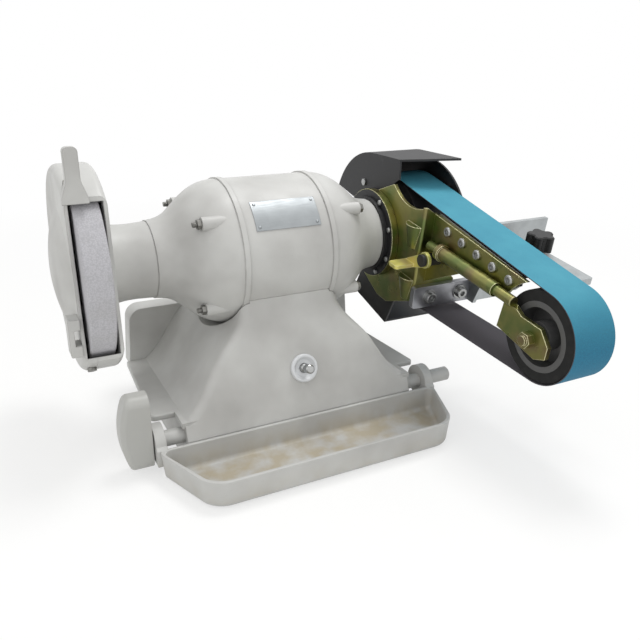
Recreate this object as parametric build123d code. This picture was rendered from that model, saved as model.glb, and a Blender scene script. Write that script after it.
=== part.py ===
"""Bench grinder with one stone wheel and a belt grinding attachment.

Frame: X runs along the spindle, left to right, the operator stands at -Y, Z is up.
The origin is the middle of the four bench bolts on the bench top. Millimetres.
The belt arm is drawn level, pointing at the operator, about a spindle axis through
its own origin: u is the distance out along the arm (-Y), v the height above the axis.
"""
import os
from math import asin, cos, degrees, radians, sin, sqrt

from build123d import *

# Fits
running = 0.05  # radial, shaft in bore
slip = 0.3  # between curved faces of pieces that move past each other
seat_gap = 0.5  # around loose covers and screws in their holes

# Motor
spindle_height = 196.0
barrel_radius = 79.5
barrel_wall = 4.5
barrel_half = 48.0  # seam between barrel and bells
ridge_height = 1.6
ridge_width = 6.0
bell_end = 134.0
bell_end_radius = 42.0
bell_wall = 6.0
tie_bolt_inset = 8.0  # bolt circle inside the barrel's skin
tie_bolt_angle = 40.0
tie_boss_radius = 7.0
tie_boss_length = 43.0
tie_bolt_radius = 2.5
tie_nut_radius = 4.6
spindle_radius = 10.0
bearing_radius = 23.5
bearing_width = 14.0
bearing_set_in = 4.0
stator_half = 40.0
air_gap = 0.5
rotor_radius = 42.0
plate_width = 74.0
plate_low = 27.0  # degrees above level on the front of the barrel
plate_high = 51.5
plate_thickness = 0.8

# Stone wheel and its guard
wheel_radius = 97.0
wheel_width = 25.0
wheel_middle = -201.5
flange_radius = 33.0
flange_width = 5.0
nut_across = 30.0
nut_height = 8.0
guard_inner_radius = 102.0
guard_wall = 3.5
wheel_side_gap = 3.5
cover_skirt = 9.0  # how far the cover reaches over the rim
cover_round = 8.0
neck_waist = 40.0
neck_flare = 44.5
neck_wall = 6.0
mouth_top = 53.0  # degrees above level where the guard opens
mouth_bottom = -45.0
dome_radius = 64.0
dome_height = 12.5
strap_width = 18.0
strap_height = 38.0
strap_thickness = 5.0
strap_standoff = 6.0
strap_foot = 11.0
strap_middle_y = -67.0
strap_middle_z = 149.0
post_width = 13.0
post_foot_width = 24.0
post_thickness = 6.0
post_top = 326.0
post_shoulder = 296.0
post_shift = 9.0  # left of the wheel's middle
guard_screw_head = 4.5
guard_screw_height = 3.0
guard_screw_margin = 10.0  # degrees from the mouth's ends
guard_screw_count = 5

# Base casting
junction_y = -70.0  # raked face, upper edge at the barrel
junction_z = 158.0
toe_y = -112.0  # raked face, lower edge behind the tray
toe_z = 31.0
pedestal_top_half = 57.0
waist_half = 66.0
waist_z = 130.0
sweep_half = 91.0
sweep_z = 102.0
flank_round = 10.0
pedestal_back = 72.0
deck_top = 50.0
deck_thickness = 6.0
deck_half_front = 163.0
deck_half_back = 155.0
deck_front = -77.0
deck_nose_half = 138.0
deck_corner = 5.0
deck_edge = 2.0
foot_half = 135.0
foot_back = 104.0
base_wall = 7.0
housing_top = 115.0
housing_half_low = 151.0
housing_half_high = 146.0
housing_corner = 16.0
housing_edge = 7.0
bolt_spacing_x = 210.0
bolt_spacing_y = 160.0
bench_bolt_radius = 4.0
bench_bolt_depth = 26.0
bench_boss_radius = 11.0
cover_thickness = 2.0
cover_recess = 6.0
cover_ledge = 5.0

# Switch
switch_x = 4.0
switch_z = 80.0
bezel_radius = 15.7
bezel_height = 4.0
bezel_lip = 3.0
bezel_ease = 1.0
bezel_dish = 4.0
bezel_floor = 2.0
bezel_neck_radius = 8.5
bezel_neck_length = 12.0
switch_ball = 5.5
toggle_length = 19.0
toggle_root_radius = 2.6
toggle_tip_radius = 5.0
toggle_pin_radius = 0.9
toggle_pin_half = 7.5

# Tray, its studs and knob
tray_gap = 1.0
tray_depth = 84.0
tray_half_back = 168.5
tray_side_lean = 30.5  # how far each side draws in towards the front
tray_corner = 30.0
tray_rim = 31.0
tray_floor = 1.0
tray_wall = 4.0
tray_draft = 6.0
tray_lip = 1.2
tray_floor_round = 5.0
stud_y = -95.0
stud_z = 32.0
stud_radius = 8.5
stud_overhang = 33.5  # bare stud beyond the ear
thread_radius = 5.0
ear_inset = 0.5
ear_thickness = 11.0
ear_radius = 18.5
knob_gap = 1.5
knob_length = 30.5
knob_crown = 98.0  # radius of the bowed outer face
knob_up = 57.0
knob_down = 25.0
knob_width = 27.0
knob_blind = 6.0

# Belt run
wheel_distance = 276.0  # drum axis to contact wheel axis
arm_tilt = 8.75
belt_standoff = 13.5  # from the bracket to the belt's edge
belt_width = 50.0
belt_thickness = 1.0
drum_radius = 70.0
drum_rim = 7.0
drum_hub_radius = 22.0
drum_web = 8.0
drum_hub_length = 38.0
contact_radius = 46.0
tyre_thickness = 11.0
contact_rim = 6.0
contact_hub_radius = 15.0
contact_web = 8.0
contact_hub_length = 36.0
rim_inset = 1.0  # each side, rims and tyres inside the belt width

# Bracket, collar and sheet guards
adapter_clearance = 2.0  # round the spindle
adapter_radius = 45.0
collar_setback = 5.0  # from the bell's end
collar_length = 9.0
collar_wall = 8.0
collar_lug = 12.0
collar_slot = 3.0
collar_bolt_radius = 2.0
collar_screw_head = 3.2
collar_screw_height = 2.5
bracket_sheet = 4.0
rib_u = 80.0
rib_height = 28.0
rib_high_radius = 14.0
rib_low_radius = 8.0
rib_sink = 5.0  # rib's own axis behind the plate's face
rib_upper = 13.0
rib_lower = -52.0
bend_round = 3.5
guard_sheet = 2.5
drum_guard_flat = 94.0  # above the spindle
drum_guard_shift = 18.0  # rounded back's centre behind the spindle
drum_guard_front = 43.0
drum_guard_low = 42.0
drum_guard_step = 58.0
drum_guard_hem = 32.0
drum_guard_visor = 63.0
outboard_gap = 6.0  # from the belt's edge
outboard_radius = 87.0
outboard_low = 25.0
lower_guard_back = -40.0
lower_guard_front = 42.0
lower_guard_high = -97.0
lower_guard_low = -107.0
lower_guard_lean = 14.0
lower_guard_drop = 6.0
shaft_opening = 26.0  # radius of the bracket's hole for the spindle
bracket_corner = 65.0
bracket_dip_u = 62.0
bracket_dip = 57.5
bracket_crest_u = 29.0
bracket_crest = 71.0
bracket_heel_u = 50.0
bracket_heel = 28.0
bracket_toe_u = 22.0
bracket_toe = -75.0
bracket_cut = -61.0
flange_tail = 38.0  # past the arm plate
guard_bolt_head = 4.2

# Arm
flange_face = 92.0  # u of the bracket's front flange, back side
arm_plate_lead = 3.5  # left face of the arm plate outside the belt's edge
arm_plate_thickness = 4.0
arm_plate_low = 20.0
gusset_length = 56.0
notch_radius = 53.0
belt_to_platen = 2.0
platen_thickness = 4.0
platen_short = 38.0  # of the contact wheel's axis
arm_bolt_radius = 3.0
arm_bolt_head = 5.5
arm_bolt_height = 3.5
arm_bolt_socket = 4.5
arm_bolt_socket_depth = 2.0
arm_bolt_drop = 10.0
arm_bolt_lead = 28.0  # first bolt past the flange
arm_bolt_margin = 10.0  # last bolt from the platen's end
arm_bolt_count = 5
tube_v = 25.0
tube_radius = 7.5
tube_bore = 5.5
tube_lead = 28.0  # past the flange
tube_collar_rim = 2.0  # out from the tube
tube_collar = 6.0
tube_short = 56.0  # of the contact wheel's axis
lever_lead = 18.0  # past the flange
lever_v = 12.0
lever_stud_rim = 2.0  # shoulder and head, out from the stud
lever_stud_radius = 5.0
lever_gap = 1.5  # from the bracket plate
lever_sheet = 4.0
lever_head = 9.0
lever_tab = 24.0
lever_reach = 34.0
lever_tab_width = 17.0
lever_tab_low = -4.0

# Tension slide
slide_travel = 8.0
slide_plate_gap = 6.5  # from the wheel's rim
slide_plate_thickness = 5.0
slide_plate_back = 45.0  # behind the axle
slide_plate_front = 24.0
slide_plate_half = 16.0
slide_plate_nose = 13.0
slide_weld = 16.0
axle_radius = 5.0
axle_nut_across = 14.0
axle_nut_height = 7.5
axle_washer_radius = 9.0

# Cross bar and rest
cross_bar_thickness = 7.0
cross_bar_low = -56.0
cross_bar_high = -29.0
cross_bar_lead = 3.0  # past the bracket
cross_bar_round = 4.0
cross_bolt_inset = 22.0
cross_bolt_pitch = 44.0
cross_bolt_head = 6.5
cross_bolt_height = 7.0
cross_bolt_socket = 6.0
cross_bolt_socket_depth = 4.0
rest_standoff = 2.0  # from the drum guard's outboard side
rest_foot = 36.0
rest_sheet = 5.0
rest_gap = 1.0
rest_upright_lead = 24.0  # past the cross bar
rest_upright_width = 70.0
rest_upright_top = 53.0
rest_shelf_top = 30.0
rest_shelf_length = 78.0
rest_bar_width = 25.0
rest_bar_thickness = 7.0
rest_bar_round = 2.0
rest_bar_lead = 19.0  # past the upright
rest_bar_length = 103.0
rest_slide = 10.0
rest_knob_lead = 53.0  # past the upright
rest_knob_radius = 15.0
rest_knob_height = 17.0
rest_knob_lobe = 5.0
rest_knob_lobes = 5
rest_knob_web = 1.0
rest_knob_stem = 7.0
rest_knob_lift = 5.0
rest_stud_radius = 4.0

# Worked out from the sizes above
spindle_line = Pos(0, 0, spindle_height)
rake = (junction_y - toe_y) / (junction_z - toe_z)
tie_bolt_circle = barrel_radius - tie_bolt_inset
guard_outer_radius = guard_inner_radius + guard_wall
wheel_left = wheel_middle - wheel_width / 2
wheel_right = wheel_middle + wheel_width / 2
guard_wall_inner = wheel_right + wheel_side_gap
guard_wall_outer = guard_wall_inner + guard_wall
cover_inner = wheel_left - wheel_side_gap
cover_outer = cover_inner - guard_wall
cover_seam = cover_inner + cover_skirt
collar_inner = bell_end + collar_setback
bracket_inner = collar_inner + collar_length
bracket_outer = bracket_inner + bracket_sheet
belt_inner = bracket_outer + belt_standoff
belt_outer = belt_inner + belt_width
belt_middle = belt_inner + belt_width / 2
belt_fall = (drum_radius - contact_radius) / wheel_distance  # sine of the belt run's slope
rim_start = belt_inner + rim_inset
rim_end = belt_outer - rim_inset
tray_back = toe_y - tray_gap
tray_front = tray_back - tray_depth
ear_outer = tray_half_back - ear_inset
ear_inner = ear_outer - ear_thickness
knob_inner = -ear_outer - knob_gap
tray_half_front = tray_half_back - tray_side_lean
flange_front = flange_face + bracket_sheet
drum_hub_end = rim_start + drum_hub_length
contact_hub_end = rim_start + contact_hub_length
outboard_inner = belt_outer + outboard_gap
arm_plate_inner = belt_inner - arm_plate_lead
arm_plate_outer = arm_plate_inner + arm_plate_thickness
lever_inner = bracket_inner - lever_gap - lever_sheet
tube_x = arm_plate_inner - tube_radius
slide_plate_outer = rim_start - slide_plate_gap
slide_plate_inner = slide_plate_outer - slide_plate_thickness
slide_plate_start = wheel_distance - slide_plate_back
slide_plate_end = wheel_distance + slide_plate_front
tube_start = flange_front + tube_lead
tube_end = wheel_distance - tube_short
platen_end = wheel_distance - platen_short
gusset_end = flange_front + gusset_length
arm_bolt_first = flange_front + arm_bolt_lead
arm_bolt_last = platen_end - arm_bolt_margin
lever_u = flange_front + lever_lead
lever_tab_far = lever_u - lever_reach
lever_tab_near = lever_tab_far + lever_tab_width
flange_wide = arm_plate_outer + flange_tail
rest_inner = outboard_inner + guard_sheet + rest_standoff
rest_middle = rest_inner + rest_bar_width / 2 + 2 * rest_gap
rest_upright_u = flange_front + cross_bar_thickness + rest_upright_lead
rest_upright_end = rest_inner + rest_upright_width
rest_shelf_end = rest_upright_u + rest_shelf_length
rest_bar_start = rest_upright_u + rest_bar_lead
rest_bar_end = rest_bar_start + rest_bar_length
rest_knob_u = rest_upright_u + rest_knob_lead
cross_bar_start = bracket_inner - cross_bar_lead
cross_bar_end = rest_inner + rest_foot
cross_bolt_near = cross_bar_start + cross_bolt_inset
cross_bolt_far = cross_bolt_near + cross_bolt_pitch
collar_screw_angles = (68.0, 25.0, -18.0, -55.0)
guard_bolt_places = ((-43.0, 50.0),)
guard_rivet_places = ((-10.0, 42.0), (14.0, 58.0), (14.0, -67.0), (36.0, -70.0))


def along_x(radius, start, end, y=0.0, z=0.0):
    """Round bar along X from start to end."""
    return Pos((start + end) / 2, y, z) * Rot(0, 90, 0) * Cylinder(radius, end - start)


def block(x0, x1, y0, y1, z0, z1):
    """Box between two corners."""
    middle = Pos((x0 + x1) / 2, (y0 + y1) / 2, (z0 + z1) / 2)
    return middle * Box(abs(x1 - x0), abs(y1 - y0), abs(z1 - z0))


def side_plate(edges, start, end):
    """Outline in the Y-Z plane, made thick along X from start to end."""
    return extrude(Plane.YZ.offset(start) * make_face(edges), end - start)


def polygon(points):
    """Closed outline of straight lines."""
    return Polyline(*points, close=True)


def arm_polygon(points):
    """Closed outline on the arm from (u, v) points."""
    return polygon([(-u, v) for u, v in points])


def front_plate(outline, back, front):
    """Outline in the X-Z plane, made thick from the back Y to the front Y."""
    plane = Plane(origin=(0, back, 0), x_dir=(1, 0, 0), z_dir=(0, -1, 0))
    return extrude(plane * make_face(outline), back - front)


def turned(edges):
    """Profile of (x, radius) turned about the spindle line, at the arm's own origin."""
    return revolve(make_face(edges), Axis.X)


def polar(radius, angle):
    """Y and Z of a point round the spindle line; the angle rises from level at the front."""
    return -radius * cos(radians(angle)), radius * sin(radians(angle))


def ring_sector(inner, outer, low, high, start, end):
    """Curved strip round the spindle line between two angles."""
    middle = (low + high) / 2
    outline = [
        ThreePointArc(polar(outer, low), polar(outer, middle), polar(outer, high)),
        Line(polar(outer, high), polar(inner, high)),
        ThreePointArc(polar(inner, high), polar(inner, middle), polar(inner, low)),
        Line(polar(inner, low), polar(outer, low)),
    ]
    return side_plate(outline, start, end)


def hexagon(across, start, end, y=0.0, z=0.0):
    """Hexagon nut or head along X."""
    plane = Plane(origin=(start, y, z), x_dir=(0, 1, 0), z_dir=(1, 0, 0))
    return extrude(plane * RegularPolygon(across / 2, 6, major_radius=False), end - start)


def arm_place(piece):
    """Tilt a piece drawn on the level arm and lift it to the spindle."""
    return spindle_line * Rot(arm_tilt, 0, 0) * piece


def save(name, *solids):
    """Write one node; several separate solids share a node as a group."""
    shape = solids[0] if len(solids) == 1 else Compound(children=[flat(solid) for solid in solids])
    export_step(shape, os.path.join("parts", name + ".step"))


def flat(piece):
    """The one solid of a piece, free of its building history."""
    return piece.solids()[0]


# Base


def raked_front(offset):
    """Everything in front of the raked face, set back by an offset."""
    top_z = 2 * spindle_height
    back_y = junction_y + rake * (top_z - junction_z)
    far = toe_y - tray_depth
    outline = polygon([
        (back_y + offset, top_z), (toe_y + offset, toe_z), (toe_y + offset, -deck_top),
        (far, -deck_top), (far, top_z),
    ])
    return side_plate(outline, -2 * deck_half_front, 2 * deck_half_front)


def pedestal():
    """Flared pedestal with a raked face whose side edges are well rounded."""
    top = (pedestal_top_half, spindle_height)
    shoulder = (pedestal_top_half, junction_z)
    waist = (waist_half, waist_z)
    sweep = (sweep_half, sweep_z)
    foot = (deck_nose_half, deck_top - deck_thickness / 2)
    right = Spline(shoulder, waist, sweep, foot, tangents=[(0, -1), (1, -0.5)])
    left = Spline(*[(-x, z) for x, z in (foot, sweep, waist, shoulder)], tangents=[(1, 0.5), (0, 1)])
    outline = [
        Line((-top[0], top[1]), top), Line(top, shoulder), right, Line(foot, (-foot[0], foot[1])), left,
        Line((-shoulder[0], shoulder[1]), (-top[0], top[1])),
    ]
    body = front_plate(outline, pedestal_back + housing_edge, toe_y) - raked_front(0)
    face = body.faces().sort_by(Axis.Y)[0]
    sides = [edge for edge in face.edges() if abs(edge.center().X) > pedestal_top_half / 2]
    return fillet(sides, flank_round)


def rear_housing():
    """Wiring housing across the back of the base, rounded all round its front and back."""
    low = deck_top - deck_thickness
    outline = make_face(polygon([
        (-housing_half_low, low), (housing_half_low, low),
        (housing_half_high, housing_top), (-housing_half_high, housing_top),
    ]))
    outline = fillet(outline.vertices().group_by(Axis.Y)[-1], housing_corner)
    plane = Plane(origin=(0, foot_back, 0), x_dir=(1, 0, 0), z_dir=(0, -1, 0))
    housing = extrude(plane * outline, foot_back - pedestal_back)
    for face in (housing.faces().sort_by(Axis.Y)[0], housing.faces().sort_by(Axis.Y)[-1]):
        edges = face.edges().sort_by(Axis.Z)[1:]
        housing = fillet(edges, housing_edge)
    return housing


def deck():
    """Thin wing deck that overhangs the foot on both sides, notched for the tray's ears."""
    nose_y = toe_y + rake * (deck_top - toe_z)
    outline = polygon([
        (-deck_nose_half, nose_y), (deck_nose_half, nose_y), (deck_nose_half, deck_front),
        (deck_half_front, deck_front), (deck_half_back, pedestal_back), (-deck_half_back, pedestal_back),
        (-deck_half_front, deck_front), (-deck_nose_half, deck_front),
    ])
    plate = Pos(0, 0, deck_top - deck_thickness) * extrude(make_face(outline), deck_thickness)
    uprights = plate.edges().filter_by(Axis.Z)
    front = uprights.filter_by_position(Axis.Y, deck_front - deck_edge, deck_front + deck_edge)
    plate = fillet([front.sort_by(Axis.X)[0], front.sort_by(Axis.X)[-1]], deck_corner)
    top = plate.faces().sort_by(Axis.Z)[-1]
    rims = [edge for edge in top.edges() if abs(edge.center().X) > deck_nose_half]
    return fillet(rims, deck_edge)


def bench_holes(radius, bottom, top):
    """Four upright round bars at the bench bolts."""
    height = top - bottom
    bars = []
    for side in (-1, 1):
        for end in (-1, 1):
            place = Pos(side * bolt_spacing_x / 2, end * bolt_spacing_y / 2, (bottom + top) / 2)
            bars.append(place * Cylinder(radius, height))
    return bars


def base_hollow():
    """Space inside the casting, open below."""
    half = foot_half - base_wall
    roof = deck_top - deck_thickness
    hip = sweep_z - 2 * base_wall
    crown = deck_top + junction_z - spindle_height + barrel_radius
    crown_half = pedestal_top_half - 2 * base_wall
    outline = polygon([
        (-half, 0), (half, 0), (half, roof), (waist_half, hip), (crown_half, crown), (-crown_half, crown),
        (-waist_half, hip), (-half, roof),
    ])
    inside = front_plate(outline, pedestal_back - base_wall, toe_y)
    passage = block(-half, half, pedestal_back - 2 * base_wall, foot_back - base_wall, 0, roof)
    wiring = block(-half, half, pedestal_back + base_wall, foot_back - base_wall, 0, housing_top - base_wall)
    return (inside - raked_front(base_wall)) + passage + wiring


def base_casting():
    """Pedestal, deck, rear housing and foot as one hollow casting."""
    body = pedestal() + deck() + rear_housing()
    body += block(-foot_half, foot_half, toe_y, foot_back, 0, deck_top - deck_thickness / 2)
    body -= raked_front(0)
    body -= spindle_line * along_x(barrel_radius, -2 * deck_half_front, 2 * deck_half_front)
    for side in (-1, 1):
        body -= spindle_line * along_x(barrel_radius + ridge_height + seat_gap,
                                       *sorted((side * (barrel_half - seat_gap), side * 2 * deck_half_front)))
    outside = body
    body -= base_hollow()
    rebate = foot_half - base_wall + cover_ledge
    front_rebate = toe_y + base_wall - cover_ledge
    back_rebate = foot_back - base_wall + cover_ledge
    body -= block(-rebate, rebate, front_rebate, back_rebate, 0, cover_recess + cover_thickness)
    for boss in bench_holes(bench_boss_radius, 0, housing_top):
        body += boss & outside
    for hole in bench_holes(bench_bolt_radius, 0, bench_bolt_depth):
        body -= hole
    for side in (-1, 1):
        ends = sorted((side * (foot_half - base_wall - seat_gap), side * (foot_half + seat_gap)))
        body -= along_x(stud_radius, *ends, stud_y, stud_z)
    body -= switch_plane() * Cylinder(bezel_neck_radius, 4 * base_wall)
    return body


def base_cover():
    """Sheet cover let into the underside, with holes round the bolt bosses."""
    half = foot_half - base_wall + cover_ledge - seat_gap
    front = toe_y + base_wall - cover_ledge + seat_gap
    back = foot_back - base_wall + cover_ledge - seat_gap
    plate = block(-half, half, front, back, cover_recess, cover_recess + cover_thickness)
    for hole in bench_holes(bench_boss_radius + seat_gap, 0, deck_top):
        plate -= hole
    return plate


# Motor


def bell_outer(x_sign):
    """Outside curve of an end bell, from the barrel seam to the end face."""
    length = bell_end - barrel_half
    points = [
        (barrel_half + ridge_width, barrel_radius),
        (barrel_half + 0.45 * length, bell_end_radius + 0.72 * (barrel_radius - bell_end_radius)),
        (barrel_half + 0.68 * length, bell_end_radius + 0.28 * (barrel_radius - bell_end_radius)),
        (bell_end, bell_end_radius),
    ]
    tangents = [(x_sign, 0), (x_sign, -0.06)]
    return Spline(*[(x_sign * x, r) for x, r in points], tangents=tangents)


def end_bell(x_sign):
    """Bell-shaped end housing with tie-bolt bosses and a bearing seat."""
    seam = x_sign * barrel_half
    ridge = x_sign * (barrel_half + ridge_width)
    end = x_sign * bell_end
    outside = turned([
        Polyline((seam, 0), (seam, barrel_radius + ridge_height), (ridge, barrel_radius + ridge_height),
                 (ridge, barrel_radius)),
        bell_outer(x_sign),
        Polyline((end, bell_end_radius), (end, 0), (seam, 0)),
    ])
    for angle in (tie_bolt_angle, -tie_bolt_angle, 180 - tie_bolt_angle, 180 + tie_bolt_angle):
        y, z = polar(tie_bolt_circle, angle)
        ends = sorted((seam, x_sign * (barrel_half + tie_boss_length)))
        outside += along_x(tie_boss_radius, *ends, y, z)
    hub = x_sign * (bell_end - bearing_width - 2 * bearing_set_in)
    length = bell_end - barrel_half
    inner = tie_bolt_circle - tie_bolt_radius - bell_wall
    hollow = turned(polygon([
        (seam, 0), (seam, inner), (x_sign * (barrel_half + 0.33 * length), inner - bell_wall),
        (hub, bell_end_radius - 2 * bell_wall), (hub, 0),
    ]))
    seat = sorted((hub, x_sign * (bell_end - bearing_set_in)))
    bell = outside - hollow - along_x(bearing_radius, *seat)
    bell -= along_x(spindle_radius + seat_gap, *sorted((0, 2 * end)))
    for angle in (tie_bolt_angle, -tie_bolt_angle, 180 - tie_bolt_angle, 180 + tie_bolt_angle):
        y, z = polar(tie_bolt_circle, angle)
        bell -= along_x(tie_bolt_radius, *sorted((0, 2 * end)), y, z)
    return spindle_line * bell


def motor_barrel():
    """Plain barrel between the bells."""
    shell = along_x(barrel_radius, -barrel_half, barrel_half)
    shell -= along_x(barrel_radius - barrel_wall, -barrel_half, barrel_half)
    return spindle_line * shell


def tie_bolts():
    """Four long bolts through both bells, a nut on each left end."""
    end = barrel_half + tie_boss_length
    bolts = []
    for angle in (tie_bolt_angle, -tie_bolt_angle, 180 - tie_bolt_angle, 180 + tie_bolt_angle):
        y, z = polar(tie_bolt_circle, angle)
        rod = along_x(tie_bolt_radius, -end - 2 * tie_nut_radius, end + tie_nut_radius, y, z)
        rod += hexagon(2 * tie_nut_radius, -end - tie_nut_radius, -end, y, z)
        rod += hexagon(2 * tie_nut_radius, end, end + tie_nut_radius, y, z)
        bolts.append(spindle_line * rod)
    return bolts


def stator_core():
    """Laminated stack pressed into the barrel, relieved where the tie bolts pass."""
    ring = along_x(barrel_radius - barrel_wall, -stator_half, stator_half)
    ring -= along_x(rotor_radius + air_gap, -stator_half, stator_half)
    for angle in (tie_bolt_angle, -tie_bolt_angle, 180 - tie_bolt_angle, 180 + tie_bolt_angle):
        y, z = polar(tie_bolt_circle, angle)
        ring -= along_x(tie_bolt_radius + seat_gap, -stator_half, stator_half, y, z)
    return spindle_line * ring


def spindle_bearings():
    """A sealed ball bearing in each bell."""
    rings = []
    for side in (-1, 1):
        outer = side * (bell_end - bearing_set_in)
        ends = sorted((outer, outer - side * bearing_width))
        ring = along_x(bearing_radius, *ends) - along_x(spindle_radius + running, *ends)
        rings.append(spindle_line * ring)
    return rings


def nameplate():
    """Bare plate bent to the barrel."""
    strip = ring_sector(barrel_radius, barrel_radius + plate_thickness, plate_low, plate_high,
                        -plate_width / 2, plate_width / 2)
    return spindle_line * strip


# Switch


def switch_plane():
    """Plane on the raked face at the switch, Z pointing out of the face."""
    y = toe_y + rake * (switch_z - toe_z)
    return Location(Plane(origin=(switch_x, y, switch_z), x_dir=(1, 0, 0), z_dir=(0, -1, rake)))


def switch_bezel():
    """Round dished bezel with a closed neck behind the face."""
    neck = bezel_neck_length
    profile = polygon([
        (0, -neck), (bezel_neck_radius, -neck), (bezel_neck_radius, 0), (bezel_radius, 0),
        (bezel_radius, bezel_height - bezel_ease), (bezel_radius - bezel_ease, bezel_height),
        (bezel_radius - bezel_lip, bezel_height), (switch_ball + bezel_dish, bezel_ease),
        (switch_ball + running, bezel_ease), (switch_ball + running, -switch_ball),
        (0, -switch_ball - bezel_floor),
    ])
    bezel = revolve(Plane.XZ * make_face(profile), Axis.Z)
    pin_hole = along_x(toggle_pin_radius + running, -toggle_pin_half - running, toggle_pin_half + running)
    return switch_plane() * (bezel - pin_hole)


def switch_lever():
    """Toggle with a wider tip; its ball root rocks on a cross pin."""
    root = toggle_root_radius
    tip = toggle_tip_radius
    stick = Pos(0, 0, toggle_length / 2) * Cylinder(root, toggle_length)
    stick += Sphere(switch_ball)
    stick += along_x(toggle_pin_radius, -toggle_pin_half, toggle_pin_half)
    grip = Pos(0, 0, toggle_length * 0.72) * Cylinder(tip, toggle_length * 0.56)
    stick += chamfer(grip.edges().filter_by(GeomType.CIRCLE), tip / 4)
    return switch_plane() * stick


# Stone wheel, guard and spindle


def spindle():
    """Ground spindle, full size between the drive ends."""
    left = wheel_left - flange_width - nut_height - 1
    right = belt_outer + rim_inset + 1
    shaft = along_x(spindle_radius, left, right)
    return spindle_line * chamfer(shaft.edges().filter_by(GeomType.CIRCLE), 1)


def rotor_core():
    """Rotor pressed on the spindle."""
    core = along_x(rotor_radius, -stator_half, stator_half)
    return spindle_line * (core - along_x(spindle_radius, -stator_half, stator_half))


def grinding_wheel():
    """Stone wheel with eased edges."""
    stone = along_x(wheel_radius, wheel_left, wheel_right)
    stone = chamfer(stone.edges().filter_by(GeomType.CIRCLE), 1.2)
    return spindle_line * (stone - along_x(spindle_radius, wheel_left, wheel_right))


def wheel_flanges():
    """Two dished clamping flanges."""
    pair = []
    for face, side in ((wheel_left, -1), (wheel_right, 1)):
        back = face + side * flange_width
        boss = flange_radius * 0.6
        disc = turned(polygon([
            (face, spindle_radius), (face, flange_radius), (face + side * flange_width / 2, flange_radius),
            (back, boss), (back, spindle_radius),
        ]))
        pair.append(spindle_line * disc)
    return pair


def wheel_nut():
    """Hexagon nut on the left end."""
    outer = wheel_left - flange_width
    nut = hexagon(nut_across, outer - nut_height, outer)
    return spindle_line * (nut - along_x(spindle_radius, outer - nut_height, outer))


def mouth_cut():
    """Everything in front of the straight line across the guard's mouth."""
    high = polar(guard_outer_radius, mouth_top)
    low = polar(guard_outer_radius, mouth_bottom)
    far = -2 * guard_outer_radius
    outline = polygon([high, low, (far, low[1]), (far, high[1])])
    return side_plate(outline, 2 * cover_outer, guard_wall_outer + guard_wall / 2)


def wheel_guard():
    """Cup round the wheel, with the neck that stands it off the motor."""
    cup = along_x(guard_outer_radius, cover_seam, guard_wall_outer)
    cup = fillet(cup.edges().filter_by(GeomType.CIRCLE).sort_by(Axis.X)[-1], 2 * guard_wall)
    cup -= along_x(guard_inner_radius, cover_seam, guard_wall_inner)
    waist = (guard_wall_outer - bell_end) / 2
    root = (-bell_end, bell_end_radius - 1)
    flare = (guard_wall_outer - guard_wall / 2, neck_flare)
    neck = turned([
        Polyline((-bell_end, 0), root),
        Spline(root, (waist, neck_waist), flare, tangents=[(-1, -0.05), (-1, 0.4)]),
        Polyline(flare, (flare[0], 0), (-bell_end, 0)),
    ])
    cup = cup - mouth_cut() + neck
    return spindle_line * (cup - along_x(neck_waist - neck_wall, guard_wall_inner - guard_wall, -bell_end))


def guard_cover():
    """Dished outer cover with a rounded rim and a domed middle over the spindle nut."""
    ball = (dome_radius**2 + dome_height**2) / (2 * dome_height)
    lip = dome_radius - guard_wall
    lift = dome_height - guard_wall
    inner_ball = (lip**2 + lift**2) / (2 * lift)
    plate = along_x(guard_outer_radius, cover_outer, cover_seam)
    plate = fillet(plate.edges().filter_by(GeomType.CIRCLE).sort_by(Axis.X)[0], cover_round)
    plate -= along_x(guard_inner_radius, cover_inner, cover_seam)
    cap = Pos(cover_outer - dome_height + ball, 0, 0) * Sphere(ball)
    plate += cap & along_x(dome_radius, cover_outer - dome_height - 1, cover_outer)
    hollow = Pos(cover_outer - lift + inner_ball, 0, 0) * Sphere(inner_ball)
    plate -= hollow & along_x(lip, cover_outer - dome_height, cover_outer)
    plate -= along_x(lip, cover_outer, cover_inner)
    return spindle_line * (plate - mouth_cut())


def guard_screw_places():
    """Angles of the cover screws round the closed part of the guard's rim."""
    full_turn = 360
    span = full_turn + mouth_bottom - mouth_top - 2 * guard_screw_margin
    step = span / (guard_screw_count - 1)
    return [mouth_top + guard_screw_margin + step * index for index in range(guard_screw_count)]


def guard_screws():
    """Cover screws: each head stands on the cover's skirt."""
    middle = (cover_inner + cover_seam) / 2
    rim = along_x(guard_outer_radius, cover_outer, guard_wall_outer)
    screws = []
    for angle in guard_screw_places():
        place = Rot(-angle, 0, 0) * Pos(middle, -guard_outer_radius, 0) * Rot(90, 0, 0)
        head = place * Cylinder(guard_screw_head, 2 * guard_screw_height)
        screws.append(spindle_line * (head - rim))
    return screws


def guard_strap():
    """Strap standing off the cover on two feet, for a hand rest."""
    back = cover_outer
    front = back - strap_standoff - strap_thickness
    low = strap_middle_z - strap_height / 2
    high = strap_middle_z + strap_height / 2
    y0 = strap_middle_y - strap_width / 2
    y1 = strap_middle_y + strap_width / 2
    strap = block(front, back, y0, y1, low, high)
    strap -= block(front + strap_thickness, back, y0, y1, low + strap_foot, high - strap_foot)
    return fillet(strap.edges().filter_by(Axis.Y).group_by(Axis.X)[0], strap_thickness / 3)


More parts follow.
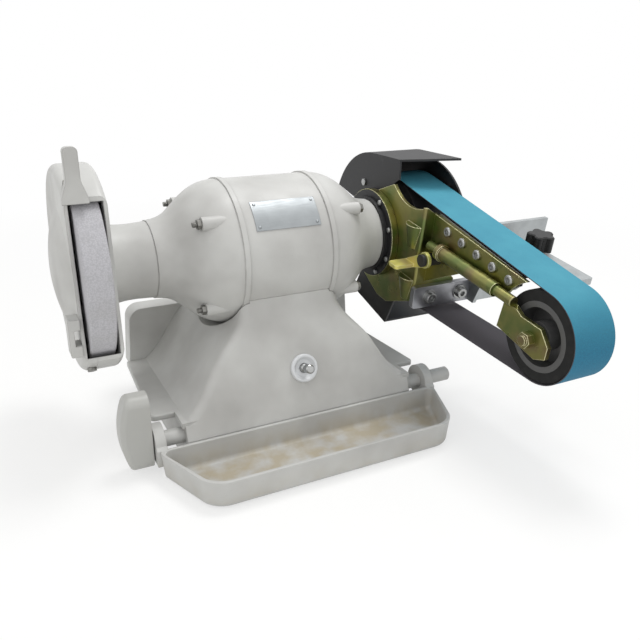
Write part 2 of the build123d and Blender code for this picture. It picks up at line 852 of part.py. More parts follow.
def visor_post():
    """Upright tongue with a spread foot on the rim above the mouth."""
    y, z = polar(guard_outer_radius, mouth_top)
    foot_z = spindle_height + z
    middle = wheel_middle - post_shift
    half, foot = post_width / 2, post_foot_width / 2
    low_z = foot_z - 2 * guard_wall
    outline = make_face(polygon([
        (middle - foot, low_z), (middle + foot, low_z), (middle + foot, foot_z),
        (middle + half, post_shoulder),
        (middle + half, post_top), (middle - half, post_top), (middle - half, post_shoulder),
        (middle - foot, foot_z),
    ]))
    outline = fillet(outline.vertices().group_by(Axis.Y)[-1], post_width / 3)
    plane = Plane(origin=(0, y + post_thickness / 2, 0), x_dir=(1, 0, 0), z_dir=(0, -1, 0))
    post = extrude(plane * outline, post_thickness * 1.5)
    return post - spindle_line * along_x(guard_outer_radius, 2 * cover_outer, guard_wall_outer)


# Tray


def tray_outline(inset):
    """Plan of the tray at its rim, seen from below."""
    outline = make_face(polygon([
        (-tray_half_back + inset, -tray_back + inset), (tray_half_back - inset, -tray_back + inset),
        (tray_half_front - inset, -tray_front - inset), (-tray_half_front + inset, -tray_front - inset),
    ]))
    back = outline.vertices().group_by(Axis.Y)[0]
    outline = fillet(back, tray_corner / 4)
    front = outline.vertices().group_by(Axis.Y)[-1]
    corners = outline.vertices().sort_by(Axis.Y)[-2:]
    return fillet(corners if len(front) < 2 else front, tray_corner - inset)


def dust_tray():
    """Cast tray with two ears that hang it on the studs."""
    plane = Plane(origin=(0, 0, tray_rim), x_dir=(1, 0, 0), z_dir=(0, 0, -1))
    tray = extrude(plane * tray_outline(0), tray_rim - tray_floor, taper=tray_draft)
    tray = fillet(tray.faces().sort_by(Axis.Z)[0].edges(), tray_floor_round)
    hollow = extrude(plane * tray_outline(tray_wall), tray_rim - tray_floor - tray_wall, taper=tray_draft)
    tray -= fillet(hollow.faces().sort_by(Axis.Z)[0].edges(), tray_floor_round)
    tray = fillet(tray.faces().sort_by(Axis.Z)[-1].edges(), tray_lip)
    root_y = tray_back - tray_wall
    low, high = stud_z - ear_radius, stud_z + ear_radius
    for side in (-1, 1):
        ends = sorted((side * ear_inner, side * ear_outer))
        ear = along_x(ear_radius, *ends, stud_y, stud_z)
        ear += side_plate(polygon([(stud_y, high), (root_y, tray_rim), (root_y, low), (stud_y, low)]), *ends)
        tray += ear - along_x(stud_radius + running, *ends, stud_y, stud_z)
    return tray


def tray_studs():
    """Two studs in the base: the right one is bare, the left one has a thread for the knob."""
    start = foot_half - base_wall - seat_gap
    right = along_x(stud_radius, start, ear_outer + stud_overhang, stud_y, stud_z)
    right = chamfer(right.edges().filter_by(GeomType.CIRCLE).sort_by(Axis.X)[-1], 1.5)
    shoulder = knob_inner + 1
    tip = knob_inner - knob_length + knob_blind + 1
    left = along_x(stud_radius, shoulder, -start, stud_y, stud_z)
    left += along_x(thread_radius, tip, shoulder, stud_y, stud_z)
    return [left, right]


def tray_knob():
    """Moulded bar knob with a bowed outer face, longer above its stud than below."""
    middle = stud_z + (knob_up - knob_down) / 2
    height = knob_up + knob_down
    outer = knob_inner - knob_length
    plane = Plane(origin=(outer, stud_y, middle), x_dir=(0, 1, 0), z_dir=(1, 0, 0))
    bar = extrude(plane * RectangleRounded(knob_width, height, knob_width * 0.4), knob_length)
    crown = Rot(90, 0, 0) * Cylinder(knob_crown, 2 * knob_width)
    bar &= Pos(outer + knob_crown, stud_y, middle) * crown
    bar = fillet(bar.faces().sort_by(Axis.X)[0].edges(), knob_width * 0.2)
    bore_end = outer + knob_blind
    return bar - along_x(thread_radius + running, bore_end, knob_inner, stud_y, stud_z)


# Belt and its wheels


def belt_under(u, gap):
    """Height of a line a gap below the belt's upper run."""
    return (drum_radius - gap - u * belt_fall) / sqrt(1 - belt_fall**2)


def belt_loop(extra):
    """Loop round drum and contact wheel, a distance off both."""
    lean = asin(belt_fall)
    drum = drum_radius + extra
    contact = contact_radius + extra
    drum_tangent = (drum * sin(lean), drum * cos(lean))
    contact_tangent = (wheel_distance + contact * sin(lean), contact * cos(lean))
    top = [(-drum_tangent[0], drum_tangent[1]), (-contact_tangent[0], contact_tangent[1])]
    bottom = [(y, -z) for y, z in top]
    outline = [
        Line(*top),
        ThreePointArc(top[1], (-wheel_distance - contact, 0), bottom[1]),
        Line(bottom[1], bottom[0]),
        ThreePointArc(bottom[0], (drum, 0), top[0]),
    ]
    return side_plate(outline, belt_inner, belt_outer)


def abrasive_belt():
    """Endless belt, held at its resting loop."""
    return arm_place(belt_loop(slip + belt_thickness) - belt_loop(slip))


def spoked_wheel(radius, rim, web, hub, bore, hub_end):
    """Rim, coned web and hub at the arm's own origin."""
    middle = belt_middle
    wheel = along_x(radius, rim_start, rim_end) - along_x(radius - rim, rim_start, rim_end)
    bed = radius - rim / 2
    wheel += turned(polygon([
        (middle - web, 0), (middle - web, hub), (middle - web / 2, bed), (middle + web / 2, bed),
        (middle + web, hub), (middle + web, 0),
    ]))
    wheel += along_x(hub, rim_start, hub_end)
    return wheel - along_x(bore, rim_start - 1, rim_end + 1)


def drive_drum():
    """Turned drum on the spindle's right end."""
    hub = drum_hub_radius
    return spindle_line * spoked_wheel(drum_radius, drum_rim, drum_web, hub, spindle_radius, drum_hub_end)


def drum_nut():
    """Hexagon nut against the drum's hub."""
    nut = hexagon(nut_across, drum_hub_end, drum_hub_end + nut_height)
    return spindle_line * (nut - along_x(spindle_radius, drum_hub_end, drum_hub_end + nut_height))


def contact_place(piece):
    """Move a piece from the arm's origin to the contact wheel's axle."""
    return arm_place(Pos(0, -wheel_distance, 0) * piece)


def contact_hub():
    """Turned hub of the contact wheel."""
    radius = contact_radius - tyre_thickness
    bore = axle_radius + running
    hub = contact_hub_radius
    return contact_place(spoked_wheel(radius, contact_rim, contact_web, hub, bore, contact_hub_end))


def contact_tyre():
    """Rubber tyre with eased edges."""
    tyre = along_x(contact_radius, rim_start, rim_end)
    tyre = chamfer(tyre.edges().filter_by(GeomType.CIRCLE), 1)
    return contact_place(tyre - along_x(contact_radius - tyre_thickness, rim_start, rim_end))


# Bracket and guards on the arm


def adapter_ring():
    """Ring bolted to the right bell, which the collar grips."""
    end = bracket_inner - slip
    ring = along_x(adapter_radius, bell_end, end) - along_x(spindle_radius + adapter_clearance, bell_end, end)
    return spindle_line * ring


def clamp_collar():
    """Split ring that grips the adapter, its clamp lug at the back."""
    outer = adapter_radius + collar_wall
    middle = (collar_inner + bracket_inner) / 2
    half = collar_lug / 2
    ring = along_x(outer, collar_inner, bracket_inner)
    ring += block(collar_inner, bracket_inner, adapter_radius, outer + collar_lug, -half, half)
    ring -= along_x(adapter_radius + running, collar_inner, bracket_inner)
    ring -= block(collar_inner, bracket_inner, 0, outer + 2 * collar_lug, -collar_slot / 2, collar_slot / 2)
    return arm_place(ring - Pos(middle, outer + half, 0) * Cylinder(collar_bolt_radius, collar_lug))


def collar_bolts():
    """Clamp bolt across the lug, and the screws that hold the collar to the bracket."""
    middle = (collar_inner + bracket_inner) / 2
    outer = adapter_radius + collar_wall
    thick = collar_bolt_radius
    shank = Cylinder(thick, collar_lug) + Pos(0, 0, (collar_lug + thick) / 2) * Cylinder(2 * thick, thick)
    bolts = [arm_place(Pos(middle, outer + collar_lug / 2, 0) * shank)]
    for angle in collar_screw_angles:
        y, z = polar(adapter_radius + collar_wall / 2, angle)
        head = along_x(collar_screw_head, collar_inner - collar_screw_height, collar_inner, y, z)
        bolts.append(arm_place(chamfer(head.edges().sort_by(Axis.X)[0], collar_screw_height / 3)))
    return bolts


def bracket_plate():
    """Pressed steel bracket: plate on the collar, bent front flange and two ribs at the bend."""
    flange_low = cross_bar_low + cross_bar_thickness
    belt_side = belt_under(flange_front, 2 * belt_to_platen)
    corner = (-flange_front, bracket_corner)
    crest = (-bracket_crest_u, bracket_crest)
    outline = [
        Spline(corner, (-bracket_dip_u, bracket_dip), crest),
        Polyline(crest, (bracket_heel_u, bracket_heel), (bracket_heel_u, -bracket_heel),
                 (bracket_heel_u / 4, bracket_cut), (-bracket_toe_u, bracket_toe),
                 (-2 * bracket_toe_u, bracket_toe), (-flange_front, flange_low), corner),
    ]
    plate = side_plate(outline, bracket_inner, bracket_outer)
    plate -= along_x(shaft_opening, bracket_inner, bracket_outer)
    plate += front_plate(polygon([
        (bracket_inner, flange_low), (flange_wide, flange_low),
        (flange_wide, cross_bar_high + belt_to_platen), (arm_plate_outer, lever_v),
        (arm_plate_outer, belt_side),
        (arm_plate_inner, belt_side), (bracket_outer, bracket_corner), (bracket_inner, bracket_corner),
    ]), -flange_face, -flange_front)
    bend = plate.edges().filter_by(Axis.Z).group_by(Axis.Y)[0].sort_by(Axis.X)[0]
    plate = fillet(bend, bend_round)
    reach = 2 * flange_face
    rib_root = bracket_inner + bracket_sheet / 2
    skin = block(bracket_inner - rib_high_radius, rib_root, -reach, reach, -reach, reach)
    for low in (rib_upper, rib_lower):
        place = Pos(bracket_inner + rib_sink, -rib_u, low + rib_height / 2)
        plate += place * Cone(rib_low_radius, rib_high_radius, rib_height) & skin
    return arm_place(plate)


def guard_arc(radius):
    """Rounded back of the drum guard, from its lower edge up to the flat top."""
    centre = drum_guard_shift
    slant = radius * sqrt(0.5)
    low_y = centre + sqrt(radius**2 - drum_guard_low**2)
    return ThreePointArc((low_y, drum_guard_low), (centre + slant, slant), (centre, radius))


def drum_guard():
    """Folded guard, level over the drum: inboard plate, rounded back, flat top, outboard disc."""
    start, end = bracket_outer, outboard_inner + guard_sheet
    front, visor = drum_guard_front, drum_guard_visor
    top, under = drum_guard_flat, drum_guard_flat - guard_sheet
    outer, inner = guard_arc(top), guard_arc(under)
    shell = side_plate([
        outer, Polyline(outer @ 1, (-visor, top), (-visor, under), inner @ 1), inner,
        Line(inner @ 0, outer @ 0),
    ], start, end)
    plan = make_face(polygon([(start, -front), (end, -visor), (start, -visor)]))
    shell -= Pos(0, 0, under) * extrude(plan, guard_sheet)
    shell += side_plate([
        outer, Polyline(outer @ 1, (-front, top), (-front, bracket_crest), (-drum_guard_hem, bracket_corner),
                        (-drum_guard_hem, drum_guard_hem), (drum_guard_step, drum_guard_hem), outer @ 0),
    ], start, start + guard_sheet)
    far = along_x(outboard_radius, outboard_inner, end)
    far += side_plate([
        outer, Polyline(outer @ 1, (0, top), (-outboard_radius / 3, outboard_radius * 0.92),
                        (0, drum_guard_hem), outer @ 0),
    ], outboard_inner, end)
    reach = 2 * outboard_radius
    far -= block(outboard_inner, end, -reach, reach, -reach, -outboard_low)
    return spindle_line * (shell + far)


def lower_guard():
    """Folded sheet under the drum, hung on the bracket."""
    start, end = bracket_outer, outboard_inner + guard_sheet
    back, front, drop = lower_guard_back, lower_guard_front, lower_guard_drop
    tray = side_plate(arm_polygon([
        (back, lower_guard_high), (front, lower_guard_low), (front, lower_guard_low + guard_sheet),
        (back, lower_guard_high + guard_sheet),
    ]), start, end)
    side = side_plate(arm_polygon([
        (back, lower_guard_high), (front, lower_guard_low),
        (front + lower_guard_lean, cross_bar_low - 2 * drop),
        (front - lower_guard_lean, cross_bar_low - drop), (back + lower_guard_lean, cross_bar_low - drop),
    ]), start, start + guard_sheet)
    return arm_place(tray + side)


def guard_bolts():
    """Fasteners that hold both sheet guards to the bracket; all but one have their heads inside."""
    bolts = []
    height = guard_bolt_head / 2
    for u, v in guard_bolt_places:
        bolts.append(arm_place(along_x(guard_bolt_head, bracket_outer - height, bracket_outer, -u, v)))
    inside = bracket_outer + guard_sheet
    for u, v in guard_rivet_places:
        bolts.append(arm_place(along_x(guard_bolt_head, inside, inside + height, -u, v)))
    return bolts


# Arm


def arm_plate():
    """Side plate of the arm: gusset at the flange, arc notch round the contact wheel."""
    notch_top = belt_under(wheel_distance - notch_radius / 2, belt_to_platen)
    tip = wheel_distance - sqrt(notch_radius**2 - notch_top**2)
    heel = wheel_distance - sqrt(notch_radius**2 - arm_plate_low**2)
    middle_v = (notch_top + arm_plate_low) / 2
    middle = wheel_distance - sqrt(notch_radius**2 - middle_v**2)
    start = (-flange_front, belt_under(flange_front, 2 * belt_to_platen))
    outline = [
        Line(start, (-tip, notch_top)),
        ThreePointArc((-tip, notch_top), (-middle, middle_v), (-heel, arm_plate_low)),
        Polyline((-heel, arm_plate_low), (-gusset_end - tube_radius, arm_plate_low),
                 (-gusset_end, tube_v - 2 * tube_radius),
                 (-flange_front, cross_bar_high + bracket_sheet), start),
    ]
    plate = side_plate(outline, arm_plate_inner, arm_plate_outer)
    plate -= along_x(lever_stud_radius, arm_plate_inner, arm_plate_outer, -lever_u, lever_v)
    for u in arm_bolt_places():
        plate -= along_x(arm_bolt_radius, arm_plate_inner, arm_plate_outer, -u, arm_bolt_height_at(u))
    return arm_place(plate)


def platen():
    """Angle behind the arm plate; its upper leg backs the belt."""
    start, end = flange_front + bracket_sheet, platen_end
    leg = side_plate(arm_polygon([
        (start, belt_under(start, belt_to_platen)), (end, belt_under(end, belt_to_platen)),
        (end, belt_under(end, belt_to_platen + platen_thickness)),
        (start, belt_under(start, belt_to_platen + platen_thickness)),
    ]), arm_plate_outer, rim_end)
    back = side_plate(arm_polygon([
        (start, belt_under(start, belt_to_platen)), (end, belt_under(end, belt_to_platen)),
        (end, belt_under(end, belt_to_platen + 2 * arm_bolt_drop)),
        (start, belt_under(start, belt_to_platen + 2 * arm_bolt_drop)),
    ]), arm_plate_outer, arm_plate_outer + platen_thickness)
    angle = leg + back
    for u in arm_bolt_places():
        angle -= along_x(arm_bolt_radius, arm_plate_outer, rim_end, -u, arm_bolt_height_at(u))
    wheel_back = wheel_distance - slide_travel
    angle -= along_x(contact_radius + seat_gap, arm_plate_outer, rim_end, -wheel_back, 0)
    return arm_place(angle)


def arm_bolt_places():
    """Distances along the arm of the bolts through arm plate and platen."""
    step = (arm_bolt_last - arm_bolt_first) / (arm_bolt_count - 1)
    return [arm_bolt_first + step * index for index in range(arm_bolt_count)]


def arm_bolt_height_at(u):
    """Bolt line, parallel to the belt's upper run."""
    return belt_under(u, belt_to_platen + arm_bolt_drop)


def arm_bolts():
    """Socket-headed bolts along the arm, each with a nut behind."""
    bolts = []
    far = arm_plate_outer + platen_thickness
    for u in arm_bolt_places():
        place = (-u, arm_bolt_height_at(u))
        bolt = along_x(arm_bolt_radius, arm_plate_inner - arm_bolt_height, far + arm_bolt_height, *place)
        head = along_x(arm_bolt_head, arm_plate_inner - arm_bolt_height, arm_plate_inner, *place)
        bolt += chamfer(head.edges().sort_by(Axis.X)[0], arm_bolt_height / 3)
        socket_start = arm_plate_inner - arm_bolt_height
        bolt -= hexagon(arm_bolt_socket, socket_start, socket_start + arm_bolt_socket_depth, *place)
        bolt += hexagon(2 * arm_bolt_head, far, far + arm_bolt_height, *place)
        bolts.append(arm_place(bolt))
    return bolts


def along_arm(radius, start, end, x, v):
    """Round bar along the arm."""
    return Pos(x, -(start + end) / 2, v) * Rot(90, 0, 0) * Cylinder(radius, end - start)


def tension_tube():
    """Guide tube for the tension slide, with an end collar and a weld pad on the arm plate."""
    tube = along_arm(tube_radius, tube_start, tube_end, tube_x, tube_v)
    tube += along_arm(tube_radius + tube_collar_rim, tube_start, tube_start + tube_collar, tube_x, tube_v)
    pad = tube_radius / 2
    tube += block(tube_x, arm_plate_inner, -gusset_end, -tube_start, tube_v - pad, tube_v + pad)
    tube -= block(arm_plate_inner, rim_end, -tube_end, 0, 0, drum_radius)
    return arm_place(tube - along_arm(tube_bore, tube_start - 1, tube_end + 1, tube_x, tube_v))


def lever_stud():
    """Shouldered pivot for the tension lever."""
    outer = lever_inner - slip
    stud = along_x(lever_stud_radius, outer, arm_plate_outer, -lever_u, lever_v)
    head = lever_stud_radius + lever_stud_rim
    stud += along_x(head, outer - lever_sheet, outer, -lever_u, lever_v)
    collar_start = lever_inner + lever_sheet + slip
    stud += along_x(head, collar_start, arm_plate_inner, -lever_u, lever_v)
    return arm_place(stud)


def tension_lever():
    """Flat lever on its stud, with a finger tab bent out at the free end."""
    start, end = lever_inner, lever_inner + lever_sheet
    tab_top = lever_tab_low + lever_sheet
    lever = along_x(lever_head, start, end, -lever_u, lever_v)
    lever += side_plate(arm_polygon([
        (lever_u, lever_v + lever_head), (lever_tab_far, tab_top), (lever_tab_far, lever_tab_low),
        (lever_tab_near, lever_tab_low), (lever_u, lever_v - lever_head),
    ]), start, end)
    tab = block(start - lever_tab, end, -lever_tab_near, -lever_tab_far, lever_tab_low, tab_top)
    lever += fillet(tab.edges().filter_by(Axis.Z).group_by(Axis.X)[0], lever_sheet)
    return arm_place(lever - along_x(lever_stud_radius + running, start, end, -lever_u, lever_v))


# Tension slide


def slide_plate():
    """Flat plate under the plunger that carries the axle, its nose corners cut."""
    half, nose = slide_plate_half, slide_plate_nose
    start, end = slide_plate_start, slide_plate_end
    saddle = tube_v - tube_bore / 2
    plate = side_plate(arm_polygon([
        (start, nose / 2 - half), (start + nose / 4, saddle), (start + slide_weld, saddle),
        (start + slide_weld + nose, half), (end - nose, half), (end, half - nose), (end, nose / 2 - half),
        (end - nose, -half),
    ]), slide_plate_inner, slide_plate_outer)
    plate -= along_x(axle_radius, slide_plate_inner, slide_plate_outer, -wheel_distance, 0)
    return arm_place(plate - along_arm(tube_bore - running, tube_start, end, tube_x, tube_v))


def tension_plunger():
    """Round rod in the guide tube; the slide plate is welded to its outer end."""
    start = flange_front + slide_travel + seat_gap
    rod = along_arm(tube_bore - running, start, slide_plate_start + slide_weld, tube_x, tube_v)
    return arm_place(chamfer(rod.edges().filter_by(GeomType.CIRCLE), seat_gap))


def axle_bolt():
    """Axle with its nut outside the plate, a spacer to the wheel and a retaining washer."""
    tip = contact_hub_end + slip + axle_radius
    bolt = along_x(axle_radius, slide_plate_inner - axle_nut_height - axle_radius / 2, tip)
    bolt += hexagon(axle_nut_across, slide_plate_inner - axle_nut_height, slide_plate_inner)
    bolt += along_x(axle_washer_radius, slide_plate_outer, rim_start - slip)
    bolt += along_x(axle_washer_radius, contact_hub_end + slip, tip)
    return contact_place(bolt)


# Cross bar and rest


def cross_bar():
    """Flat bar bolted across the bracket's front flange."""
    face = -flange_front - cross_bar_thickness
    bar = block(cross_bar_start, cross_bar_end, face, -flange_front, cross_bar_low, cross_bar_high)
    return arm_place(fillet(bar.edges().filter_by(Axis.Y), cross_bar_round))


def cross_bolts():
    """Socket-headed bolts with washers on the cross bar."""
    face = -flange_front - cross_bar_thickness
    middle = (cross_bar_low + cross_bar_high) / 2
    socket_floor = cross_bolt_height - cross_bolt_socket_depth
    bolts = []
    for x in (cross_bolt_near, cross_bolt_far):
        plane = Plane(origin=(x, face, middle), x_dir=(1, 0, 0), z_dir=(0, -1, 0))
        head = extrude(plane * Circle(cross_bolt_head), cross_bolt_height)
        head = chamfer(head.edges().sort_by(Axis.Y)[0], seat_gap)
        head += extrude(plane * Circle(cross_bolt_head * 1.4), cross_bolt_height / 5)
        socket = RegularPolygon(cross_bolt_socket / 2, 6, major_radius=False)
        bolts.append(arm_place(head - extrude(plane.offset(socket_floor) * socket, cross_bolt_socket_depth)))
    return bolts


def rest_bracket():
    """Aluminium bracket on the cross bar's end: cheek, upright stop plate and shelf."""
    bar_face = flange_front + cross_bar_thickness
    upright = rest_upright_u
    back = upright + rest_sheet
    shelf_low = rest_shelf_top - rest_sheet
    cheek = side_plate(arm_polygon([
        (bar_face, cross_bar_low), (bar_face, cross_bar_high), (upright, shelf_low), (back, rest_shelf_top),
        (rest_shelf_end, rest_shelf_top), (rest_shelf_end, shelf_low), (back + rest_sheet, shelf_low),
        (bar_face + 2 * rest_sheet, cross_bar_low),
    ]), rest_inner, rest_inner + rest_sheet)
    foot = block(rest_inner, cross_bar_end, -bar_face - rest_sheet, -bar_face, cross_bar_low, cross_bar_high)
    stop = block(rest_inner, rest_upright_end, -back, -upright, shelf_low - 2 * rest_sheet, rest_upright_top)
    shelf_side = rest_middle + rest_bar_width / 2
    shelf = block(rest_inner, shelf_side, -rest_shelf_end, -upright, shelf_low, rest_shelf_top)
    stud_hole = Cylinder(rest_stud_radius + running, 4 * rest_sheet)
    shelf -= Pos(rest_middle, -rest_knob_u, rest_shelf_top) * stud_hole
    return arm_place(cheek + foot + stop + shelf)


def rest_bar():
    """Slotted aluminium bar that slides along the shelf."""
    low = rest_shelf_top + running
    high = low + rest_bar_thickness
    side = rest_bar_width / 2
    bar = block(rest_middle - side, rest_middle + side, -rest_bar_end, -rest_bar_start, low, high)
    bar = fillet(bar.edges().filter_by(Axis.Z), rest_bar_round)
    slot_width = 2 * rest_stud_radius + 2 * seat_gap
    plane = Plane(origin=(rest_middle, -rest_knob_u, low), x_dir=(0, 1, 0), z_dir=(0, 0, 1))
    slot = SlotCenterToCenter(2 * rest_slide, slot_width)
    return arm_place(bar - extrude(plane * slot, rest_bar_thickness))


def rest_knob():
    """Lobed clamp knob with its stem and stud."""
    core = rest_knob_radius - rest_knob_lobe
    outline = Circle(core + rest_knob_web)
    for place in PolarLocations(core, rest_knob_lobes):
        outline += place * Circle(rest_knob_lobe)
    outline = fillet(outline.vertices(), rest_knob_lobe / 3)
    head = extrude(Pos(0, 0, -rest_knob_height / 2) * outline, rest_knob_height)
    head = chamfer(head.faces().sort_by(Axis.Z)[-1].edges(), rest_knob_lobe / 4)
    bar_top = rest_shelf_top + rest_bar_thickness + 2 * running
    lift = rest_knob_lift + rest_knob_height / 2
    stud_low = rest_shelf_top - rest_sheet
    stud_length = bar_top - stud_low + rest_knob_lift
    knob = Pos(0, 0, bar_top + lift) * head
    knob += Pos(0, 0, bar_top + rest_knob_lift / 2) * Cylinder(rest_knob_stem, rest_knob_lift)
    knob += Pos(0, 0, stud_low + stud_length / 2) * Cylinder(rest_stud_radius, stud_length)
    return arm_place(Pos(rest_middle, -rest_knob_u, 0) * knob)


os.makedirs("parts", exist_ok=True)
save("base_casting", base_casting())
save("base_cover", base_cover())
save("motor_barrel", motor_barrel())
save("left_end_bell", end_bell(-1))
save("right_end_bell", end_bell(1))
save("tie_bolts", *tie_bolts())
save("stator_core", stator_core())
save("spindle_bearings", *spindle_bearings())
save("nameplate", nameplate())
save("switch_bezel", switch_bezel())
save("wheel_guard", wheel_guard())
save("guard_cover", guard_cover())
save("guard_screws", *guard_screws())
save("guard_strap", guard_strap())
save("visor_post", visor_post())
save("tray_studs", *tray_studs())
save("adapter_ring", adapter_ring())
save("spindle", spindle())
save("rotor_core", rotor_core())
save("grinding_wheel", grinding_wheel())
save("wheel_flanges", *wheel_flanges())
save("wheel_nut", wheel_nut())
save("drive_drum", drive_drum())
save("drum_nut", drum_nut())
save("dust_tray", dust_tray())
save("tray_knob", tray_knob())
save("switch_lever", switch_lever())
save("clamp_collar", clamp_collar())
save("collar_bolts", *collar_bolts())
save("bracket_plate", bracket_plate())
save("drum_guard", drum_guard())
save("lower_guard", lower_guard())
save("guard_bolts", *guard_bolts())
save("arm_plate", arm_plate())
save("platen", platen())
save("arm_bolts", *arm_bolts())
save("tension_tube", tension_tube())
save("lever_stud", lever_stud())
save("cross_bar", cross_bar())
save("cross_bolts", *cross_bolts())
save("rest_bracket", rest_bracket())
save("abrasive_belt", abrasive_belt())
save("tension_plunger", tension_plunger())
save("slide_plate", slide_plate())
save("axle_bolt", axle_bolt())
save("contact_hub", contact_hub())
save("contact_tyre", contact_tyre())
save("tension_lever", tension_lever())
save("rest_bar", rest_bar())
save("rest_knob", rest_knob())
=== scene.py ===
"""Looks of a bench grinder with a stone wheel and a belt arm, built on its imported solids."""
import logging
import math
from dataclasses import dataclass
from enum import Enum
from typing import Sequence

import bmesh
import bpy
from mathutils import Matrix, Vector


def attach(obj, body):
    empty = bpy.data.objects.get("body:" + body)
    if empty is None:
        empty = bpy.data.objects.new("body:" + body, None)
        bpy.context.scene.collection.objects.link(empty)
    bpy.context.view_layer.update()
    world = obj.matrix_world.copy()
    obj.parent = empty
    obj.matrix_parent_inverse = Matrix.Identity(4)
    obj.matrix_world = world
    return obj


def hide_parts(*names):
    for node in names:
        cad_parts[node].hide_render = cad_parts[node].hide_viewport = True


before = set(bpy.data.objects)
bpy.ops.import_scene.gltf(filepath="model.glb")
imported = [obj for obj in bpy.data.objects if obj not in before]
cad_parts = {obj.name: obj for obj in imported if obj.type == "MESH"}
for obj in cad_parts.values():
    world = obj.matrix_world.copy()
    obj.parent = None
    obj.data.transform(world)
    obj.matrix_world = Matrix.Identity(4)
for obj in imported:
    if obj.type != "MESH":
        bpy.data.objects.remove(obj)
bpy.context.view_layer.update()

LOG = logging.getLogger("bench_grinder")
MM = 0.001
WAVE_BAND = math.tau / 20  # width of one band of the wave pattern at scale 1
SPINDLE_HEIGHT = 196.0
ARM_TILT = 8.75
SHARP_EDGE = math.radians(40)  # faces that meet at more than this keep a crisp edge
RUB_STARTS = 0.99  # cosine of the turn from a flat to its rounded edge where rubbing starts
RUB_FULL = 0.88  # and where it is full
RUB_PATCH_MM = 11.0
RUB_FADE = 0.22  # noise levels over which a rubbed patch fades in
EDGE_SAMPLES = 6
RIDGE_SHARE = 0.42  # radius of a thread's ridge as a share of its pitch
WHITE = "#ffffff"
Point = tuple[float, float, float]
Tree = bpy.types.NodeTree
Node = bpy.types.Node
Socket = bpy.types.NodeSocket


def linear(code: str) -> tuple[float, float, float, float]:
    """Turn an sRGB hex colour into linear red, green, blue and alpha.

    Args:
        code: Colour such as "#c0c0b8".

    Returns:
        Linear colour with alpha 1.
    """
    parts = [int(code[index:index + 2], 16) / 255 for index in (1, 3, 5)]
    bent = [part / 12.92 if part <= 0.04045 else ((part + 0.055) / 1.055) ** 2.4 for part in parts]
    return bent[0], bent[1], bent[2], 1.0


def add_node(tree: Tree, kind: str, inputs: dict | None = None, **settings: object) -> Node:
    """Add one node, set its properties, then set or link its inputs.

    Args:
        tree: Node tree that gets the node.
        kind: Blender's type name of the node.
        inputs: Input name or index to a constant or to the socket it is linked from.
        **settings: Properties of the node itself.

    Returns:
        The new node.
    """
    node = tree.nodes.new(kind)
    for name, value in settings.items():
        setattr(node, name, value)
    for key, value in (inputs or {}).items():
        socket = node.inputs[key]
        if isinstance(value, Socket):
            tree.links.new(value, socket)
        else:
            socket.default_value = value
    return node


def arm_point(x: float, u: float, v: float) -> Point:
    """Turn a place on the level arm into the machine's frame.

    Args:
        x: Place along the spindle in millimetres.
        u: Distance out along the arm in millimetres.
        v: Height above the arm's own line in millimetres.

    Returns:
        The place in millimetres.
    """
    tilt = math.radians(ARM_TILT)
    y = -u * math.cos(tilt) - v * math.sin(tilt)
    z = SPINDLE_HEIGHT - u * math.sin(tilt) + v * math.cos(tilt)
    return x, y, z


def per_metre(size_mm: float) -> float:
    """Texture scale that gives a pattern this size in millimetres."""
    return 1.0 / (size_mm * MM)


